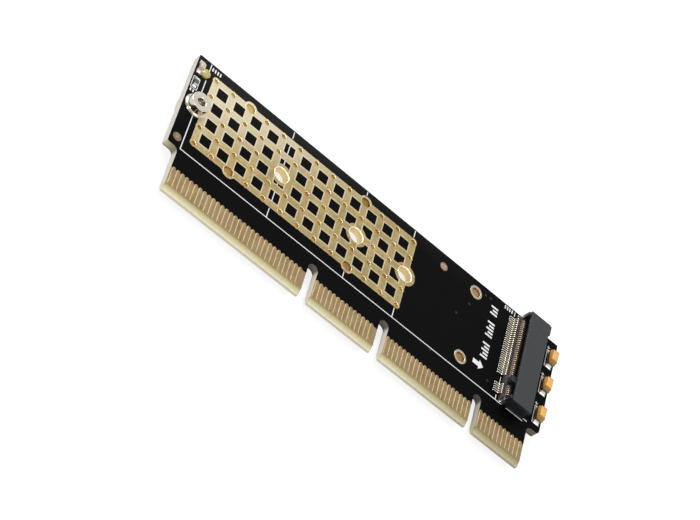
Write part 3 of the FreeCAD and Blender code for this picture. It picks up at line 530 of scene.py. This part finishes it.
gridFinish = {
    "plated": ((0.27, 0.215, 0.09), (0.40, 0.325, 0.15)), "greener": (0.84, 0.85, 0.80), "pinker": (1.16, 1.04, 1.12),
    "corner": (0.033, 0.060), "paintedCornerLight": ((0.42, 0.37, 0.25), (0.62, 0.55, 0.40)),
    "windowsPerMetre": 250, "shiftX": 0.025, "shiftY": 0.7125,  # the shifts are in windows
    "pitch": 4, "windowHalf": 1.125, "edgeWidth": 0.24,  # mm
    # The edge colour is a painted highlight on the window edges
    "edgeHighlightShare": 0.46, "edge": (0.72, 0.64, 0.47),
}


def gridLook(net, coords):
    # Matt plated copper in greener and pinker patches, with painted light near the corner and a painted highlight on
    # the window edges:
    # window distance = pitch * max(|fract(x / pitch) - 1/2|, |fract(y / pitch) - 1/2|), from a window's middle
    own = gridFinish
    x, y, z = net.split(coords)
    marks = net.noise(coords, 5200, 4, 0.75)
    plated = net.blend(net.span(net.noise(coords, 260, 4) + marks * 0.7, 0.6, 1.1), *own["plated"])
    patches = net.span(net.noise(coords, 1100, 3, 0.6), 0.35, 0.65)
    tinted = net.blend(patches, net.tint(plated, own["greener"]), net.tint(plated, own["pinker"]))
    # Painted light near the upper left corner
    color = net.blend(nearCorner(net, x, y, own["corner"]), tinted, net.blend(marks, *own["paintedCornerLight"]))
    across = abs((x * own["windowsPerMetre"] + own["shiftX"]).math("FRACT") - 0.5) * own["pitch"]
    along = abs((y * own["windowsPerMetre"] + own["shiftY"]).math("FRACT") - 0.5) * own["pitch"]
    reach = across.math("MAXIMUM", along)
    edge = (reach > own["windowHalf"]) * (reach < own["windowHalf"] + own["edgeWidth"])
    return {"Base_Color": net.blend(edge * own["edgeHighlightShare"], color, own["edge"]), "Metallic": 1.0,
            "Roughness": net.span(marks, 0.3, 0.7, 0.36, 0.50), "Normal": net.bump(marks, 0.4, 0.000016)}


contactFinish = {
    "perMetre": 1000, "shiftX": 0.25, "shiftY": 10.85,  # in millimetres, to a contact's middle and its rounded end
    "rimReach": (0.24, 0.32), "rimHighlightSide": (0.2, -0.2, 0.3, 1.0),  # the rim is fainter on its right side
    "plated": ((0.23, 0.155, 0.075), (0.36, 0.26, 0.13)), "rim": (0.46, 0.37, 0.21),
}


def contactLook(net, coords):
    # Tan plating with a painted highlight on its rim; rim distance = sqrt(side^2 + max(end, 0)^2) from the rounded
    # end's centre
    own = contactFinish
    x, y, z = net.split(coords)
    side = (x * own["perMetre"] + own["shiftX"]).math("FRACT") - 0.5
    end = (y * own["perMetre"] + own["shiftY"]).math("MAXIMUM", 0.0)
    reach = (side * side + end * end).math("SQRT")
    # Painted highlight on the rim, fainter on the right side
    rim = net.span(reach, *own["rimReach"]) * net.span(side, *own["rimHighlightSide"])
    streaks = net.noise(net.stretch(coords, (9, 1, 1)), 1500, 5, 0.65)
    plated = net.blend(net.span(net.noise(coords, 500, 3) + streaks * 0.8, 0.65, 1.15), *own["plated"])
    return {"Base_Color": net.blend(rim, plated, own["rim"]), "Metallic": 1.0,
            "Roughness": net.span(streaks, 0.3, 0.7, 0.30, 0.42) + rim * 0.2,
            "Normal": net.bump(streaks, 0.06, 0.00001)}


pinFinish = {
    "tails": ((0.56, 0.50, 0.38), (0.80, 0.74, 0.60)), "inside": ((0.30, 0.22, 0.13), (0.56, 0.44, 0.30)),
    "mouth": (0.0340, 0.0344), "heel": (0.03366, 0.0338), "heelShade": (0.4, 0.37, 0.34),
    "sideTop": 0.002918, "sideEnd": 0.0339, "sideTint": (0.14, 0.12, 0.10),
    "litStart": (0.0346, 0.0350), "litEnd": (0.0356, 0.0352), "lit": (0.42, 0.31, 0.20),
}


def pinLook(net, coords):
    # Tinned tails in front of the lip, bright on top and darker on the lower part of their sides, with painted shade
    # on the heel, and brown gold inside the mouth, where a narrow stretch is made dull and pale as painted light
    own = pinFinish
    x, y, z = net.split(coords)
    marks = net.noise(net.stretch(coords, (1, 4, 1)), 2600, 4)
    color = net.blend(net.span(x, *own["mouth"]), net.blend(marks, *own["tails"]), net.blend(marks, *own["inside"]))
    # Painted shade on the heel
    color = net.tint(color, own["heelShade"], net.span(x, *own["heel"]) * 0.55)
    color = net.tint(color, own["sideTint"], (z < own["sideTop"]) * (x < own["sideEnd"]))
    # Painted light: a narrow stretch in the mouth is pale and less metallic
    lit = net.span(x, *own["litStart"]) * net.span(x, *own["litEnd"])
    return {"Base_Color": net.blend(lit, color, own["lit"]), "Metallic": 1 - lit * 0.7,
            "Roughness": net.span(marks, 0.3, 0.7, 0.22, 0.34), "Normal": net.bump(marks, 0.2, 0.00001)}


socketFinish = {
    "plain": ((0.006, 0.007, 0.009), (0.011, 0.0125, 0.0155)),
    "lipEnd": 0.03536, "lipTop": 0.00385, "lip": ((0.055, 0.05, 0.06), (0.085, 0.08, 0.088)),
}


def socketLook(net, coords):
    # Moulded plastic: two close greys and a fine grain, with painted light on the lower lip, which is greyer and a
    # little purple
    own = socketFinish
    x, y, z = net.split(coords)
    cloudy = net.noise(coords, 2200, 4)
    grain = net.noise(coords, 12000, 2, 0.6)
    plain = net.blend(net.span(cloudy, 0.35, 0.65), *own["plain"])
    # Painted light on the lower lip
    onLip = (x < own["lipEnd"]) * (z < own["lipTop"])
    return {"Base_Color": net.blend(onLip, plain, net.blend(cloudy, *own["lip"])), "Specular_IOR_Level": 0.42,
            "Roughness": net.span(grain, 0.3, 0.7, 0.37, 0.50), "Normal": net.bump(grain, 0.15, 0.00001)}


dotFinish = {
    "places": ((-0.04335, -0.0042), (0.015645, 0.0132)), "ring": (0.00045, 0.00088),
    "copper": ((0.26, 0.16, 0.105), (0.40, 0.27, 0.195)), "specks": (0.90, 0.78, 0.62),
    "tarnish": ((0.16, 0.10, 0.07), (0.30, 0.20, 0.15)), "leftDot": (-0.02, -0.03), "leftDotShade": (0.62, 0.7, 0.68),
}


def dotLook(net, coords):
    # Bare copper, pink in the middle with pale specks as painted glints, and tarnished round the rim; each dot is 1.8
    # mm across
    own = dotFinish
    x, y, z = net.split(coords)
    cloudy = net.noise(coords, 1500, 4, 0.65)
    first, second = [((x - u) * (x - u) + (y - v) * (y - v)).math("SQRT") for u, v in own["places"]]
    ring = net.span(first.math("MINIMUM", second), *own["ring"])
    # Painted glints: pale specks on the copper
    copper = net.blend(net.span(net.noise(coords, 3000, 2), 0.58, 0.66), net.blend(cloudy, *own["copper"]),
                       own["specks"])
    worn = net.blend(ring, copper, net.blend(cloudy, *own["tarnish"]))
    # Painted shade on the left dot
    return {"Base_Color": net.tint(worn, own["leftDotShade"], net.span(x, *own["leftDot"])), "Metallic": 1.0,
            "Roughness": net.span(cloudy, 0.3, 0.7, 0.34, 0.46), "Normal": net.bump(cloudy, 0.2, 0.00001)}


padFinish = {
    # The second pair of colours is painted shade between the tails
    "bright": ((0.30, 0.27, 0.20), (0.46, 0.42, 0.33)), "paintedShade": ((0.015, 0.012, 0.008), (0.05, 0.04, 0.028)),
    "between": (0.0318, 0.0345),
}


def padLook(net, coords):
    # Tinned copper pads, with painted shade between the socket's tails
    own = padFinish
    x, y, z = net.split(coords)
    marks = net.noise(coords, 2600, 4)
    between = (x > own["between"][0]) * (x < own["between"][1])
    return {"Base_Color": net.blend(between, net.blend(marks, *own["bright"]), net.blend(marks, *own["paintedShade"])),
            "Metallic": 1.0, "Roughness": net.span(marks, 0.3, 0.7, 0.28, 0.42),
            "Normal": net.bump(marks, 0.2, 0.00001)}


def paintLook(first, second, rough):
    # Moulded or printed surface: two close shades mixed by a cloudy noise, with a fine grain
    def build(net, coords):
        grain = net.noise(coords, 9000, 2, 0.6)
        return {"Base_Color": net.blend(net.span(net.noise(coords, 1500, 4), 0.35, 0.65), first, second),
                "Roughness": net.span(grain, 0.3, 0.7, rough - 0.05, rough + 0.08),
                "Normal": net.bump(grain, 0.15, 0.00001)}
    return build


resinFinish = {
    "rows": (0.0115, 0.0047, -0.0026),  # y of each body's middle; a strip's place is from there, with its half width
    "farBand": (0.00123, 0.00016), "nearBand": (-0.00110, 0.00007), "nearEnd": (-0.00136, 0.00018),
    "bandLow": 0.0041, "endTop": 0.00446, "seam": (0.00378, 0.00372),
    "resin": ((0.70, 0.36, 0.075), (0.82, 0.44, 0.11)), "band": (0.33, 0.11, 0.02),
    # Painted shade: on the near end and below the seam
    "nearEndShade": (0.5, 0.52, 0.45), "belowSeamShade": (0.22, 0.165, 0.12),
}


def capacitorLook(net, coords):
    # Orange resin, with painted shade below the seam at mid height and on the near end, with a brown band at the far
    # end of each body and a thin brown line at the near one. A strip is 1 where |y - body's middle - place| < half
    # width.
    own = resinFinish
    x, y, z = net.split(coords)
    cloudy = net.noise(coords, 1300, 4)
    grain = net.noise(coords, 9000, 3)

    def strips(name):
        spot, half = own[name]
        first, second, third = [abs(y - (middle + spot)) < half for middle in own["rows"]]
        return first + second + third

    band = (strips("farBand") + strips("nearBand")).math("MINIMUM", 1.0) * (z > own["bandLow"])
    end = strips("nearEnd").math("MINIMUM", 1.0) * (z < own["endTop"])
    color = net.blend(net.span(cloudy, 0.3, 0.7), *own["resin"])
    color = net.blend(band * net.span(cloudy, 0.25, 0.6, 0.75, 1.0), color, own["band"])
    # Painted shade on the near end
    color = net.tint(color, own["nearEndShade"], end * 0.6)
    # Painted shade below the seam at mid height
    color = net.tint(color, own["belowSeamShade"], net.span(z + cloudy * 0.00006, *own["seam"]))
    return {"Base_Color": color, "Roughness": net.span(grain, 0.3, 0.7, 0.36, 0.5),
            "Normal": net.bump(grain, 0.2, 0.00001)}


def lensLook(net, coords):
    # Yellow resin in two close shades, slightly glossy
    cloudy = net.noise(coords, 1500, 3)
    return {"Base_Color": net.blend(cloudy, (0.41, 0.31, 0.065), (0.53, 0.42, 0.13)), "Roughness": 0.34,
            "Coat_Weight": 0.15, "Normal": net.bump(cloudy, 0.1, 0.00002)}


looks = {
    "laminate": makeLook("laminate", laminateLook),
    "solder_mask": makeLook("solderMask", maskLook),
    "track": makeLook("maskOverCopper", trackLook),
    "grid_gold": makeLook("gridGold", gridLook),
    "via_gold": makeLook("viaGold", goldLook(**viaFinish)),
    "sink_gold": makeLook("sinkGold", sinkLook),
    "contact_gold": makeLook("contactGold", contactLook),
    "bare_copper": makeLook("bareCopper", dotLook),
    "white_print": makeLook("whitePrint", paintLook((0.82, 0.82, 0.80), (0.72, 0.72, 0.71), 0.55)),
    "tinned_pad": makeLook("tinnedPad", padLook),
    "nickel": makeLook("polishedNickel", goldLook(**nickelFinish)),
    "socket_plastic": makeLook("socketPlastic", socketLook),
    "contact_metal": makeLook("pinGold", pinLook),
    "tin": makeLook("tinnedEnds", goldLook(**tinFinish)),
    "capacitor_resin": makeLook("capacitorResin", capacitorLook),
    "lamp_ceramic": makeLook("lampCeramic", paintLook((0.58, 0.51, 0.39), (0.47, 0.395, 0.285), 0.40)),
    "lens_resin": makeLook("lensResin", lensLook),
    "resistor_ceramic": makeLook("resistorCeramic", paintLook((0.045, 0.05, 0.055), (0.07, 0.075, 0.08), 0.3)),
}
for entry in frame["record"]["subparts"]:
    mesh = nodes[entry["node"]].data
    mesh.materials.clear()
    mesh.materials.append(looks[entry["material_slot"]])
nodes["standoff_hole_plating"].data.materials[0] = looks["tin"]
print("looks ready:", len(looks))

# Heat grid and socket housing: the nodes' own shapes with softened edges
softEdge = 0.035  # mm
roundedCopy("heatGrid", "heat_grid", looks["grid_gold"], softEdge)
roundedCopy("socketBody", "socket_housing", looks["socket_plastic"], softEdge)

# Edge contacts: long pads with rounded ends and a soft shoulder all round
contacts = {
    "pitch": 1.0, "first": 1.5, "shortSide": 11, "longSide": 71, "gaps": (21, 22, 23, 38, 39, 40),
    "halfWidth": 0.35, "low": 1.3, "length": 4.3, "shoulder": 0.08, "thick": 0.045, "upright": 0.25,
}


def contactPlaces(values):
    # u = first + pitch i to the right of the key, and -(first + pitch i) to its left, without the gaps
    right = values["first"] + values["pitch"] * np.arange(values["shortSide"])
    left = np.delete(-(values["first"] + values["pitch"] * np.arange(values["longSide"])), values["gaps"])
    return np.concatenate([right, left])


def contactPads(values, z, up):
    # A share of the thickness goes straight up, and a quarter wave takes the rest over the shoulder's width:
    # height = thick (upright + (1 - upright) sin(pi t / 2)), inset = shoulder t
    t = np.linspace(0, 1, 6)
    rise = values["thick"] * (values["upright"] + (1 - values["upright"]) * np.sin(t * math.pi / 2))
    steps = [(0, 0)] + list(zip(t * values["shoulder"], rise))
    half = values["length"] / 2
    block = slab(values["halfWidth"], half, values["halfWidth"], steps, 5) * [1, 1, up]
    return place(block, atCard(contactPlaces(values), values["low"] + half, z))


buildPiece("frontContacts", [contactPads(contacts, card["laminateFront"], 1)], looks["contact_gold"],
           ["edge_contacts_front"], 180)
buildPiece("backContacts", [contactPads(contacts, card["laminateBack"], -1)], looks["contact_gold"],
           ["edge_contacts_back"], 180)

# Plated holes: barrels with a rolled rim, a ring on the back, and one on the front where no copper meets them
holes = {
    "module": {"bore": 1.5, "wall": 0.18, "rim": 0.1, "pad": 2.4, "u": (-51.8, -33.8, -21.8)},
    "sink": {"bore": 0.97, "wall": 0.21, "rim": 0.05, "pad": 1.45, "u": (-61.8, -33.8, -5.8), "v": (13.055, 29.405)},
    "via": {"bore": 0.48, "wall": 0.06, "rim": 0.05, "pad": 0.7},
    "gridLeft": -69.85, "gridRight": -21.85, "gridLow": 13.25, "pitch": 4.0, "columns": 13, "rows": 5,
    "crest": 0.01, "padEdge": 0.03, "padDrop": 0.02,  # a rim's height over the copper, and the front ring's slope
}


def barrel(hole, columns, frontPad=False):
    # Closed profile: up the bore, over the rim, down behind the wall, out and round the back ring
    bore, wall, rim, pad = hole["bore"], hole["bore"] + hole["wall"], hole["rim"], hole["pad"]
    low, back = card["copperBack"], card["laminateBack"]
    front, top, crest = card["laminateFront"], card["copper"], card["copper"] + holes["crest"]
    corners = [(bore, back), (bore, crest - rim), (bore + rim, crest)]
    ring = [(pad - holes["padEdge"], crest), (pad, top - holes["padDrop"]), (pad, front)]
    corners += ring if frontPad else [(wall, crest)]
    corners += [(wall, front), (wall, back), (pad, back), (pad, low), (bore + rim, low), (bore, back)]
    return lathe(bend(corners, rim * 0.6, 3), columns)


def viaPlaces(values):
    # Crossings of the grid, without those that a larger hole's pad would meet
    column, row = np.meshgrid(np.arange(values["columns"]), np.arange(values["rows"]), indexing="ij")
    u = values["gridLeft"] + values["pitch"] * column
    v = values["gridLow"] + values["pitch"] * row
    others = [(x, card["centre"], values["module"]["pad"]) for x in (card["standoffU"], *values["module"]["u"])]
    others += [(x, y, values["sink"]["pad"]) for x in values["sink"]["u"] for y in values["sink"]["v"]]
    x, y, pad = np.array(others).T
    free = (np.hypot(u[..., None] - x, v[..., None] - y) > pad + values["via"]["bore"]).all(-1)
    return atCard(u[free], v[free], 0)


sinkPlaces = [(u, v) for u in holes["sink"]["u"] for v in holes["sink"]["v"]]
sinkInGrid = np.array([spot for spot in sinkPlaces if spot[0] < holes["gridRight"]])
sinkOutside = np.array([spot for spot in sinkPlaces if spot[0] > holes["gridRight"]])
buildPiece("moduleHoles", [place(barrel(holes["module"], 72), atCard(holes["module"]["u"], card["centre"], 0))],
           looks["via_gold"], ["module_hole_plating"])
buildPiece("sinkHoles", [place(barrel(holes["sink"], 56), atCard(*sinkInGrid.T, 0)),
                         place(barrel(holes["sink"], 56, True), atCard(*sinkOutside.T, 0))],
           looks["sink_gold"], ["sink_hole_plating"])
buildPiece("heatVias", [place(barrel(holes["via"], 24), viaPlaces(holes))],
           looks["via_gold"], ["heat_vias"])
print("board pieces ready")

# Small holes closed over by the mask: low domes in the film
tents = {
    "radius": 0.26, "rise": 0.035, "root": 0.01,
    "front": ((-3.58, 30.44), (-2.32, 30.63), (-6.67, 25.71), (-9.02, 21.61), (-0.6, 22.3), (1.2, 12.6),
              (-12.4, 9.6)),
    "back": ((-60.5, 8.9), (-49.3, 9.3), (-38.2, 8.7), (-27.1, 9.4), (-16.3, 8.8), (-3.2, 9.9), (-1.4, 24.6)),
}


def tentedHoles(values, side):
    # z = rise (cos(pi r / R) + 1) / 2 over a disc, upwards or downwards
    r = np.linspace(values["radius"], 0, 7)
    dome = np.stack([r, values["rise"] * (np.cos(math.pi * r / values["radius"]) + 1) / 2], -1)
    root = [(0, -values["root"]), (values["radius"], -values["root"])]
    block = lathe(np.concatenate([root, dome]), 20) * [1, 1, side]
    start = card["face"] if side > 0 else card["copperBack"] + values["root"]
    return place(block, atCard(*np.array(values["front" if side > 0 else "back"]).T, start))


buildPiece("tentedHoles", [tentedHoles(tents, 1), tentedHoles(tents, -1)], looks["track"])

# Standoff, turned from one bar with a threaded hole, and its nut behind the board
standoffSizes = {
    "u": card["standoffU"], "columns": 96,
    "stud": 1.45, "base": 2.3, "baseTop": 2.99, "drum": 2.0, "top": 4.4, "low": 0.2, "edge": 0.06, "studEnd": 0.15,
    "hole": 0.8, "mouth": 0.12, "holeDepth": 3.0, "holeTip": 0.4,
    "pitch": 0.4, "threadDepth": 0.07, "threadFade": 0.3, "threadRows": 66,
    "nutFlats": 5.0, "nutTop": 1.2, "nutCone": 1.6,
}


def turnedStandoff(values):
    # Outside: a stepped profile with rounded corners. Inside: r = hole + depth fade |sin(pi z / pitch - a / 2)|
    low, top, hole, mouth = values["low"], values["top"], values["hole"], values["mouth"]
    stud, base, baseTop, drum = values["stud"], values["base"], values["baseTop"], values["drum"]
    end, columns = values["studEnd"], values["columns"]
    outer = bend([
        (0, low), (stud - end, low), (stud, low + end), (stud, card["copper"]), (base, card["copper"]),
        (base, baseTop), (drum, baseTop), (drum, top), (hole + mouth, top), (hole, top - mouth)
    ], values["edge"], 4)
    body = lathe(outer, columns)
    z = np.linspace(top - mouth, top - values["holeDepth"], values["threadRows"])[:, None]
    turn = np.linspace(0, 2 * math.pi, columns, endpoint=False)[None, :]
    fade = np.clip((top - mouth - z) / values["threadFade"], 0, 1)
    radius = hole + values["threadDepth"] * fade * np.abs(np.sin(math.pi * z / values["pitch"] - turn / 2))
    thread = np.stack([radius * np.cos(turn), radius * np.sin(turn), z + 0 * turn], -1)
    tip = np.zeros((1, columns, 3)) + [0, 0, top - values["holeDepth"] - values["holeTip"]]
    return place(np.concatenate([body, thread[1:], tip]), atCard(values["u"], card["centre"], 0))


def hexNut(values):
    # r = apothem / cos((a + 30) mod 60 - 30), cut at both ends by a cone of r = 1.02 apothem + cone times the
    # distance from the end; the bore closes the loop
    flat = values["nutFlats"] / 2
    turn = np.linspace(0, 2 * math.pi, values["columns"], endpoint=False)
    hexagon = flat / np.cos((turn + math.pi / 6) % (math.pi / 3) - math.pi / 6)
    top, bore = values["nutTop"], values["stud"]
    heights = np.array([0, 0, 0.05, 0.12, 0.2, top - 0.2, top - 0.12, top - 0.05, top, top, 0])
    edge = np.minimum(heights, top - heights)[:, None]
    radius = np.minimum(hexagon[None, :], flat * 1.02 + edge * values["nutCone"] - 0.03 * (edge < 0.01))
    radius[[0, 9, 10]] = bore
    ring = np.stack([radius * np.cos(turn), radius * np.sin(turn), heights[:, None] + 0 * turn], -1)
    return place(ring, atCard(values["u"], card["centre"], 0))


buildPiece("threadedStandoff", [turnedStandoff(standoffSizes)], looks["nickel"], ["standoff"])
buildPiece("hexNut", [hexNut(standoffSizes)], looks["nickel"], ["standoff_nut"], 25)

# Socket contacts: bent strips with softened edges
pins = {
    "pitch": 0.5, "lower": 38, "upper": 37, "keyGap": (29, 30, 31, 32), "halfWidth": 0.1, "halfThick": 0.075,
    "soft": 0.025, "front": 5.6, "back": 10.3, "tail": 2.9, "heel": 3.95, "riser": 10.12, "bendRadius": 0.16,
}


def pinRows(values, count):
    # v = centre + half span - pitch i, without the key's places
    rows = card["centre"] + values["pitch"] * ((count - 1) / 2 - np.arange(count))
    return np.delete(rows, values["keyGap"])


def softSection(halfThick, halfWidth, soft):
    # Rectangle with its corners cut at 45 degrees
    return [(halfThick, -halfWidth + soft), (halfThick, halfWidth - soft), (halfThick - soft, halfWidth),
            (-halfThick + soft, halfWidth), (-halfThick, halfWidth - soft), (-halfThick, -halfWidth + soft),
            (-halfThick + soft, -halfWidth), (halfThick - soft, -halfWidth)]


def pinStrips(values, corners, rows, halfWidth):
    # The soft section carried along the rounded path, at each row
    path = bend([(u, 0, z) for u, z in corners], values["bendRadius"], 4)
    strip = sweep(path, (0, 1, 0), softSection(values["halfThick"], halfWidth, values["soft"]))
    return place(strip, atCard(0, rows, 0))


# Paths of (u, height): along the pad, up the heel or riser, and on to the tip in the mouth
face, copper = card["face"], card["copper"]
onPad = copper + pins["halfThick"]
lowerPath = [
    (pins["tail"], onPad), (pins["heel"], onPad), (pins["heel"] + 0.3, face + 0.75),
    (pins["front"] - 0.6, face + 0.75), (pins["front"] - 0.24, face + 1.275), (pins["front"] + 1.08, face + 1.275)
]
upperPath = [
    (pins["back"] + 1.05, onPad), (pins["riser"] + 0.15, onPad), (pins["riser"], onPad + 0.15),
    (pins["riser"], face + 2.5), (pins["riser"] - 0.15, face + 2.65), (pins["front"] + 1.92, face + 2.65),
    (pins["front"] + 1.2, face + 2.425), (pins["front"] + 0.84, face + 2.575)
]
anchors = {"start": 4.5, "riser": 5.025, "rise": 1.1, "halfSpan": 10.46, "halfWidth": 0.35}
anchorPath = [(anchors["start"], onPad), (anchors["riser"], onPad), (anchors["riser"], face + anchors["rise"])]
buildPiece("lowerPins", [pinStrips(pins, lowerPath, pinRows(pins, pins["lower"]), pins["halfWidth"])],
           looks["contact_metal"], ["socket_lower_contacts"])
buildPiece("upperPins", [pinStrips(pins, upperPath, pinRows(pins, pins["upper"]), pins["halfWidth"])],
           looks["contact_metal"], ["socket_upper_contacts"])
anchorRows = card["centre"] + np.array([-1, 1]) * anchors["halfSpan"]
buildPiece("solderAnchors", [pinStrips(pins, anchorPath, anchorRows, anchors["halfWidth"])], looks["tin"],
           ["socket_anchors"])
print("socket ready")

# Capacitors: moulded blocks with a bevelled end, on folded terminals
capacitor = {
    "u": 13.85, "offsets": (6.65, -0.15, -7.45), "halfU": 0.85, "halfV": 1.45, "low": 0.12, "height": 1.75,
    "lowDraft": 0.1, "draft": 0.16, "bevel": 0.34, "corner": 0.07,
    "terminalHalf": 0.65, "terminalRise": 0.95, "terminalThick": 0.12, "run": 0.9,
}


def capacitorBlock(values):
    # Outlines that widen to mid height and draw in to the top; the near end is cut off at 45 degrees
    low, top = values["low"], values["height"]
    middle, under, draft = (low + top) / 2, values["lowDraft"], values["draft"]
    block = slab(values["halfU"], values["halfV"], values["corner"], [
        (under + 0.04, low), (under, low + 0.04), (0.02, middle - 0.03), (0, middle - 0.01), (0, middle + 0.01),
        (0.02, middle + 0.03), (draft, top - 0.07), (draft + 0.02, top - 0.02), (draft + 0.07, top),
        (values["bevel"], top)
    ])
    cut = np.clip(-(values["halfV"] - values["bevel"]) - block[..., 1], 0, None) * (block[..., 2] > middle)
    block[..., 2] -= cut
    return block


def foldedTerminal(values, side):
    # L-shaped strip: along under the body, then up its end
    half = values["terminalThick"] / 2
    end = values["halfV"] + half
    path = bend([(0, side * (values["halfV"] - values["run"]), half), (0, side * end, half),
                 (0, side * end, values["terminalRise"])], 0.1, 4)
    return sweep(path, (1, 0, 0), softSection(half, values["terminalHalf"], 0.02))


for number, offset in enumerate(capacitor["offsets"], start=1):
    spot = atCard(capacitor["u"], card["centre"] + offset, copper)
    buildPiece("capacitor%dBlock" % number, [place(capacitorBlock(capacitor), spot)], looks["capacitor_resin"],
               ["capacitor_%d_body" % number])
    buildPiece("capacitor%dLeads" % number, [place(foldedTerminal(capacitor, side), spot) for side in (-1, 1)],
               looks["tin"], ["capacitor_%d_terminals" % number])

# Lamp and resistor at the standoff end
lamp = {
    "u": -73.55, "v": 29.55, "halfU": 0.5, "halfV": 0.65, "height": 0.75, "endHalf": 0.225, "endRise": 0.3,
    "lensU": 1.15, "lensV": -0.75, "lens": 0.95, "lensRise": 0.65, "crown": 0.25,
    "armU": 0.55, "armHalfU": 0.42, "armHalfV": 0.62, "armRise": 0.5,
}
resistor = {"drop": 4.1, "halfU": 0.425, "halfV": 0.8, "height": 0.51, "cap": 0.3}


def lampLens(values):
    # Cylinder under a shallow dome: z = shoulder + crown (1 - (r / R)^2), with a rounded rim
    radius, rise, crown = values["lens"], values["lensRise"], values["crown"]
    r = np.linspace(radius - 0.03, 0, 14)
    dome = np.stack([r, rise - crown * (r / radius) ** 2], -1)
    return lathe(np.concatenate([[(0, 0), (radius, 0), (radius, rise - crown - 0.04)], dome]), 48)


lampSpot = atCard(lamp["u"], lamp["v"], copper)
lensSpot = atCard(lamp["u"] + lamp["lensU"], lamp["v"] + lamp["lensV"], copper)
softBlock = [(0.03, 0), (0, 0.03), (0, lamp["height"] - 0.08), (0.03, lamp["height"] - 0.02), (0.08, lamp["height"])]
lensArm = slab(lamp["armHalfU"], lamp["armHalfV"], 0.08,
               [(0.03, 0), (0, 0.03), (0, lamp["armRise"] - 0.08), (0.06, lamp["armRise"])])
buildPiece("lampBody", [place(slab(lamp["halfU"], lamp["halfV"], 0.1, softBlock), lampSpot),
                        place(lensArm, lampSpot + [lamp["armU"], lamp["lensV"], 0])],
           looks["lamp_ceramic"], ["lamp_housing"])
buildPiece("lampLens", [place(lampLens(lamp), lensSpot)], looks["lens_resin"], ["lamp_lens"])
endBlock = slab(lamp["halfU"], lamp["endHalf"], 0.05,
                [(0.02, 0), (0, 0.02), (0, lamp["endRise"] - 0.05), (0.05, lamp["endRise"])])
ends = [lampSpot + [0, side * (lamp["halfV"] + lamp["endHalf"]), 0] for side in (-1, 1)]
buildPiece("lampEnds", [place(endBlock, ends)], looks["tin"], ["lamp_terminals"])

resistorSpot = lampSpot - [0, resistor["drop"], 0]
chip = slab(resistor["halfU"] - 0.03, resistor["halfV"] - resistor["cap"] / 2, 0.04,
            [(0.02, 0.03), (0, 0.05), (0, resistor["height"] - 0.07), (0.05, resistor["height"] - 0.02)], 3)
endCap = slab(resistor["halfU"], resistor["cap"] / 2, 0.05,
              [(0.02, 0), (0, 0.03), (0, resistor["height"] - 0.05), (0.05, resistor["height"])])
capSpots = [resistorSpot + [0, side * (resistor["halfV"] - resistor["cap"] / 2), 0] for side in (-1, 1)]
buildPiece("resistorChip", [place(chip, resistorSpot)], looks["resistor_ceramic"],
           ["resistor_body"])
buildPiece("resistorCaps", [place(endCap, capSpots)], looks["tin"], ["resistor_end_caps"])

# Solder fillets: height falls as (1 - t)^2 away from the metal that they climb
def fillet(halfWidth, rise, reach, direction):
    t = np.linspace(0, 1, 7)[:, None]
    profile = np.array([(-1, 0), (-0.86, 0.62), (-0.5, 0.93), (0, 1), (0.5, 0.93), (0.86, 0.62), (1, 0), (0, 0)])
    width = profile[None, :, 0] * halfWidth * (1 + 0.12 * t)
    height = profile[None, :, 1] * rise * (1 - t) ** 2
    along = np.repeat(t * reach, len(profile), axis=1)
    a, b = direction
    rows = np.stack([along * a - width * b, along * b + width * a, height], -1)
    ends = rows[[0, -1]] * 0 + rows[[0, -1]].mean(axis=1, keepdims=True)
    return np.concatenate([ends[:1], rows, ends[1:]])


# Half width, rise and reach of each kind in mm, and how far it starts from the part's middle or the pin's end
fillets = {
    "capacitor": (0.62, 0.55, 0.55), "capacitorStart": 1.56,
    "lamp": (0.48, 0.26, 0.5), "lampStart": 1.09,
    "resistor": (0.40, 0.36, 0.32), "resistorStart": 0.79,
    "lowerPin": (0.09, 0.1, 0.11), "lowerPinStart": 0.02,
    "upperPin": (0.12, 0.1, 0.11), "upperPinStart": 1.03,
}
middles = {
    "capacitor": atCard(capacitor["u"], card["centre"] + np.array(capacitor["offsets"]), copper),
    "lamp": lampSpot, "resistor": resistorSpot,
}
pinEnds = {
    "lowerPin": (-1, atCard(pins["tail"], pinRows(pins, pins["lower"]), copper)),
    "upperPin": (1, atCard(pins["back"], pinRows(pins, pins["upper"]), copper)),
}
solder = [place(fillet(*fillets[name], (0, side)), spot + [0, side * fillets[name + "Start"], 0])
          for name, spot in middles.items() for side in (-1, 1)]
solder += [place(fillet(*fillets[name], (way, 0)), spot + [fillets[name + "Start"], 0, 0])
           for name, (way, spot) in pinEnds.items()]
buildPiece("solderFillets", solder, looks["tin"], (), 60)
print("small parts ready")

bpy.context.scene.view_settings.view_transform = "Standard"
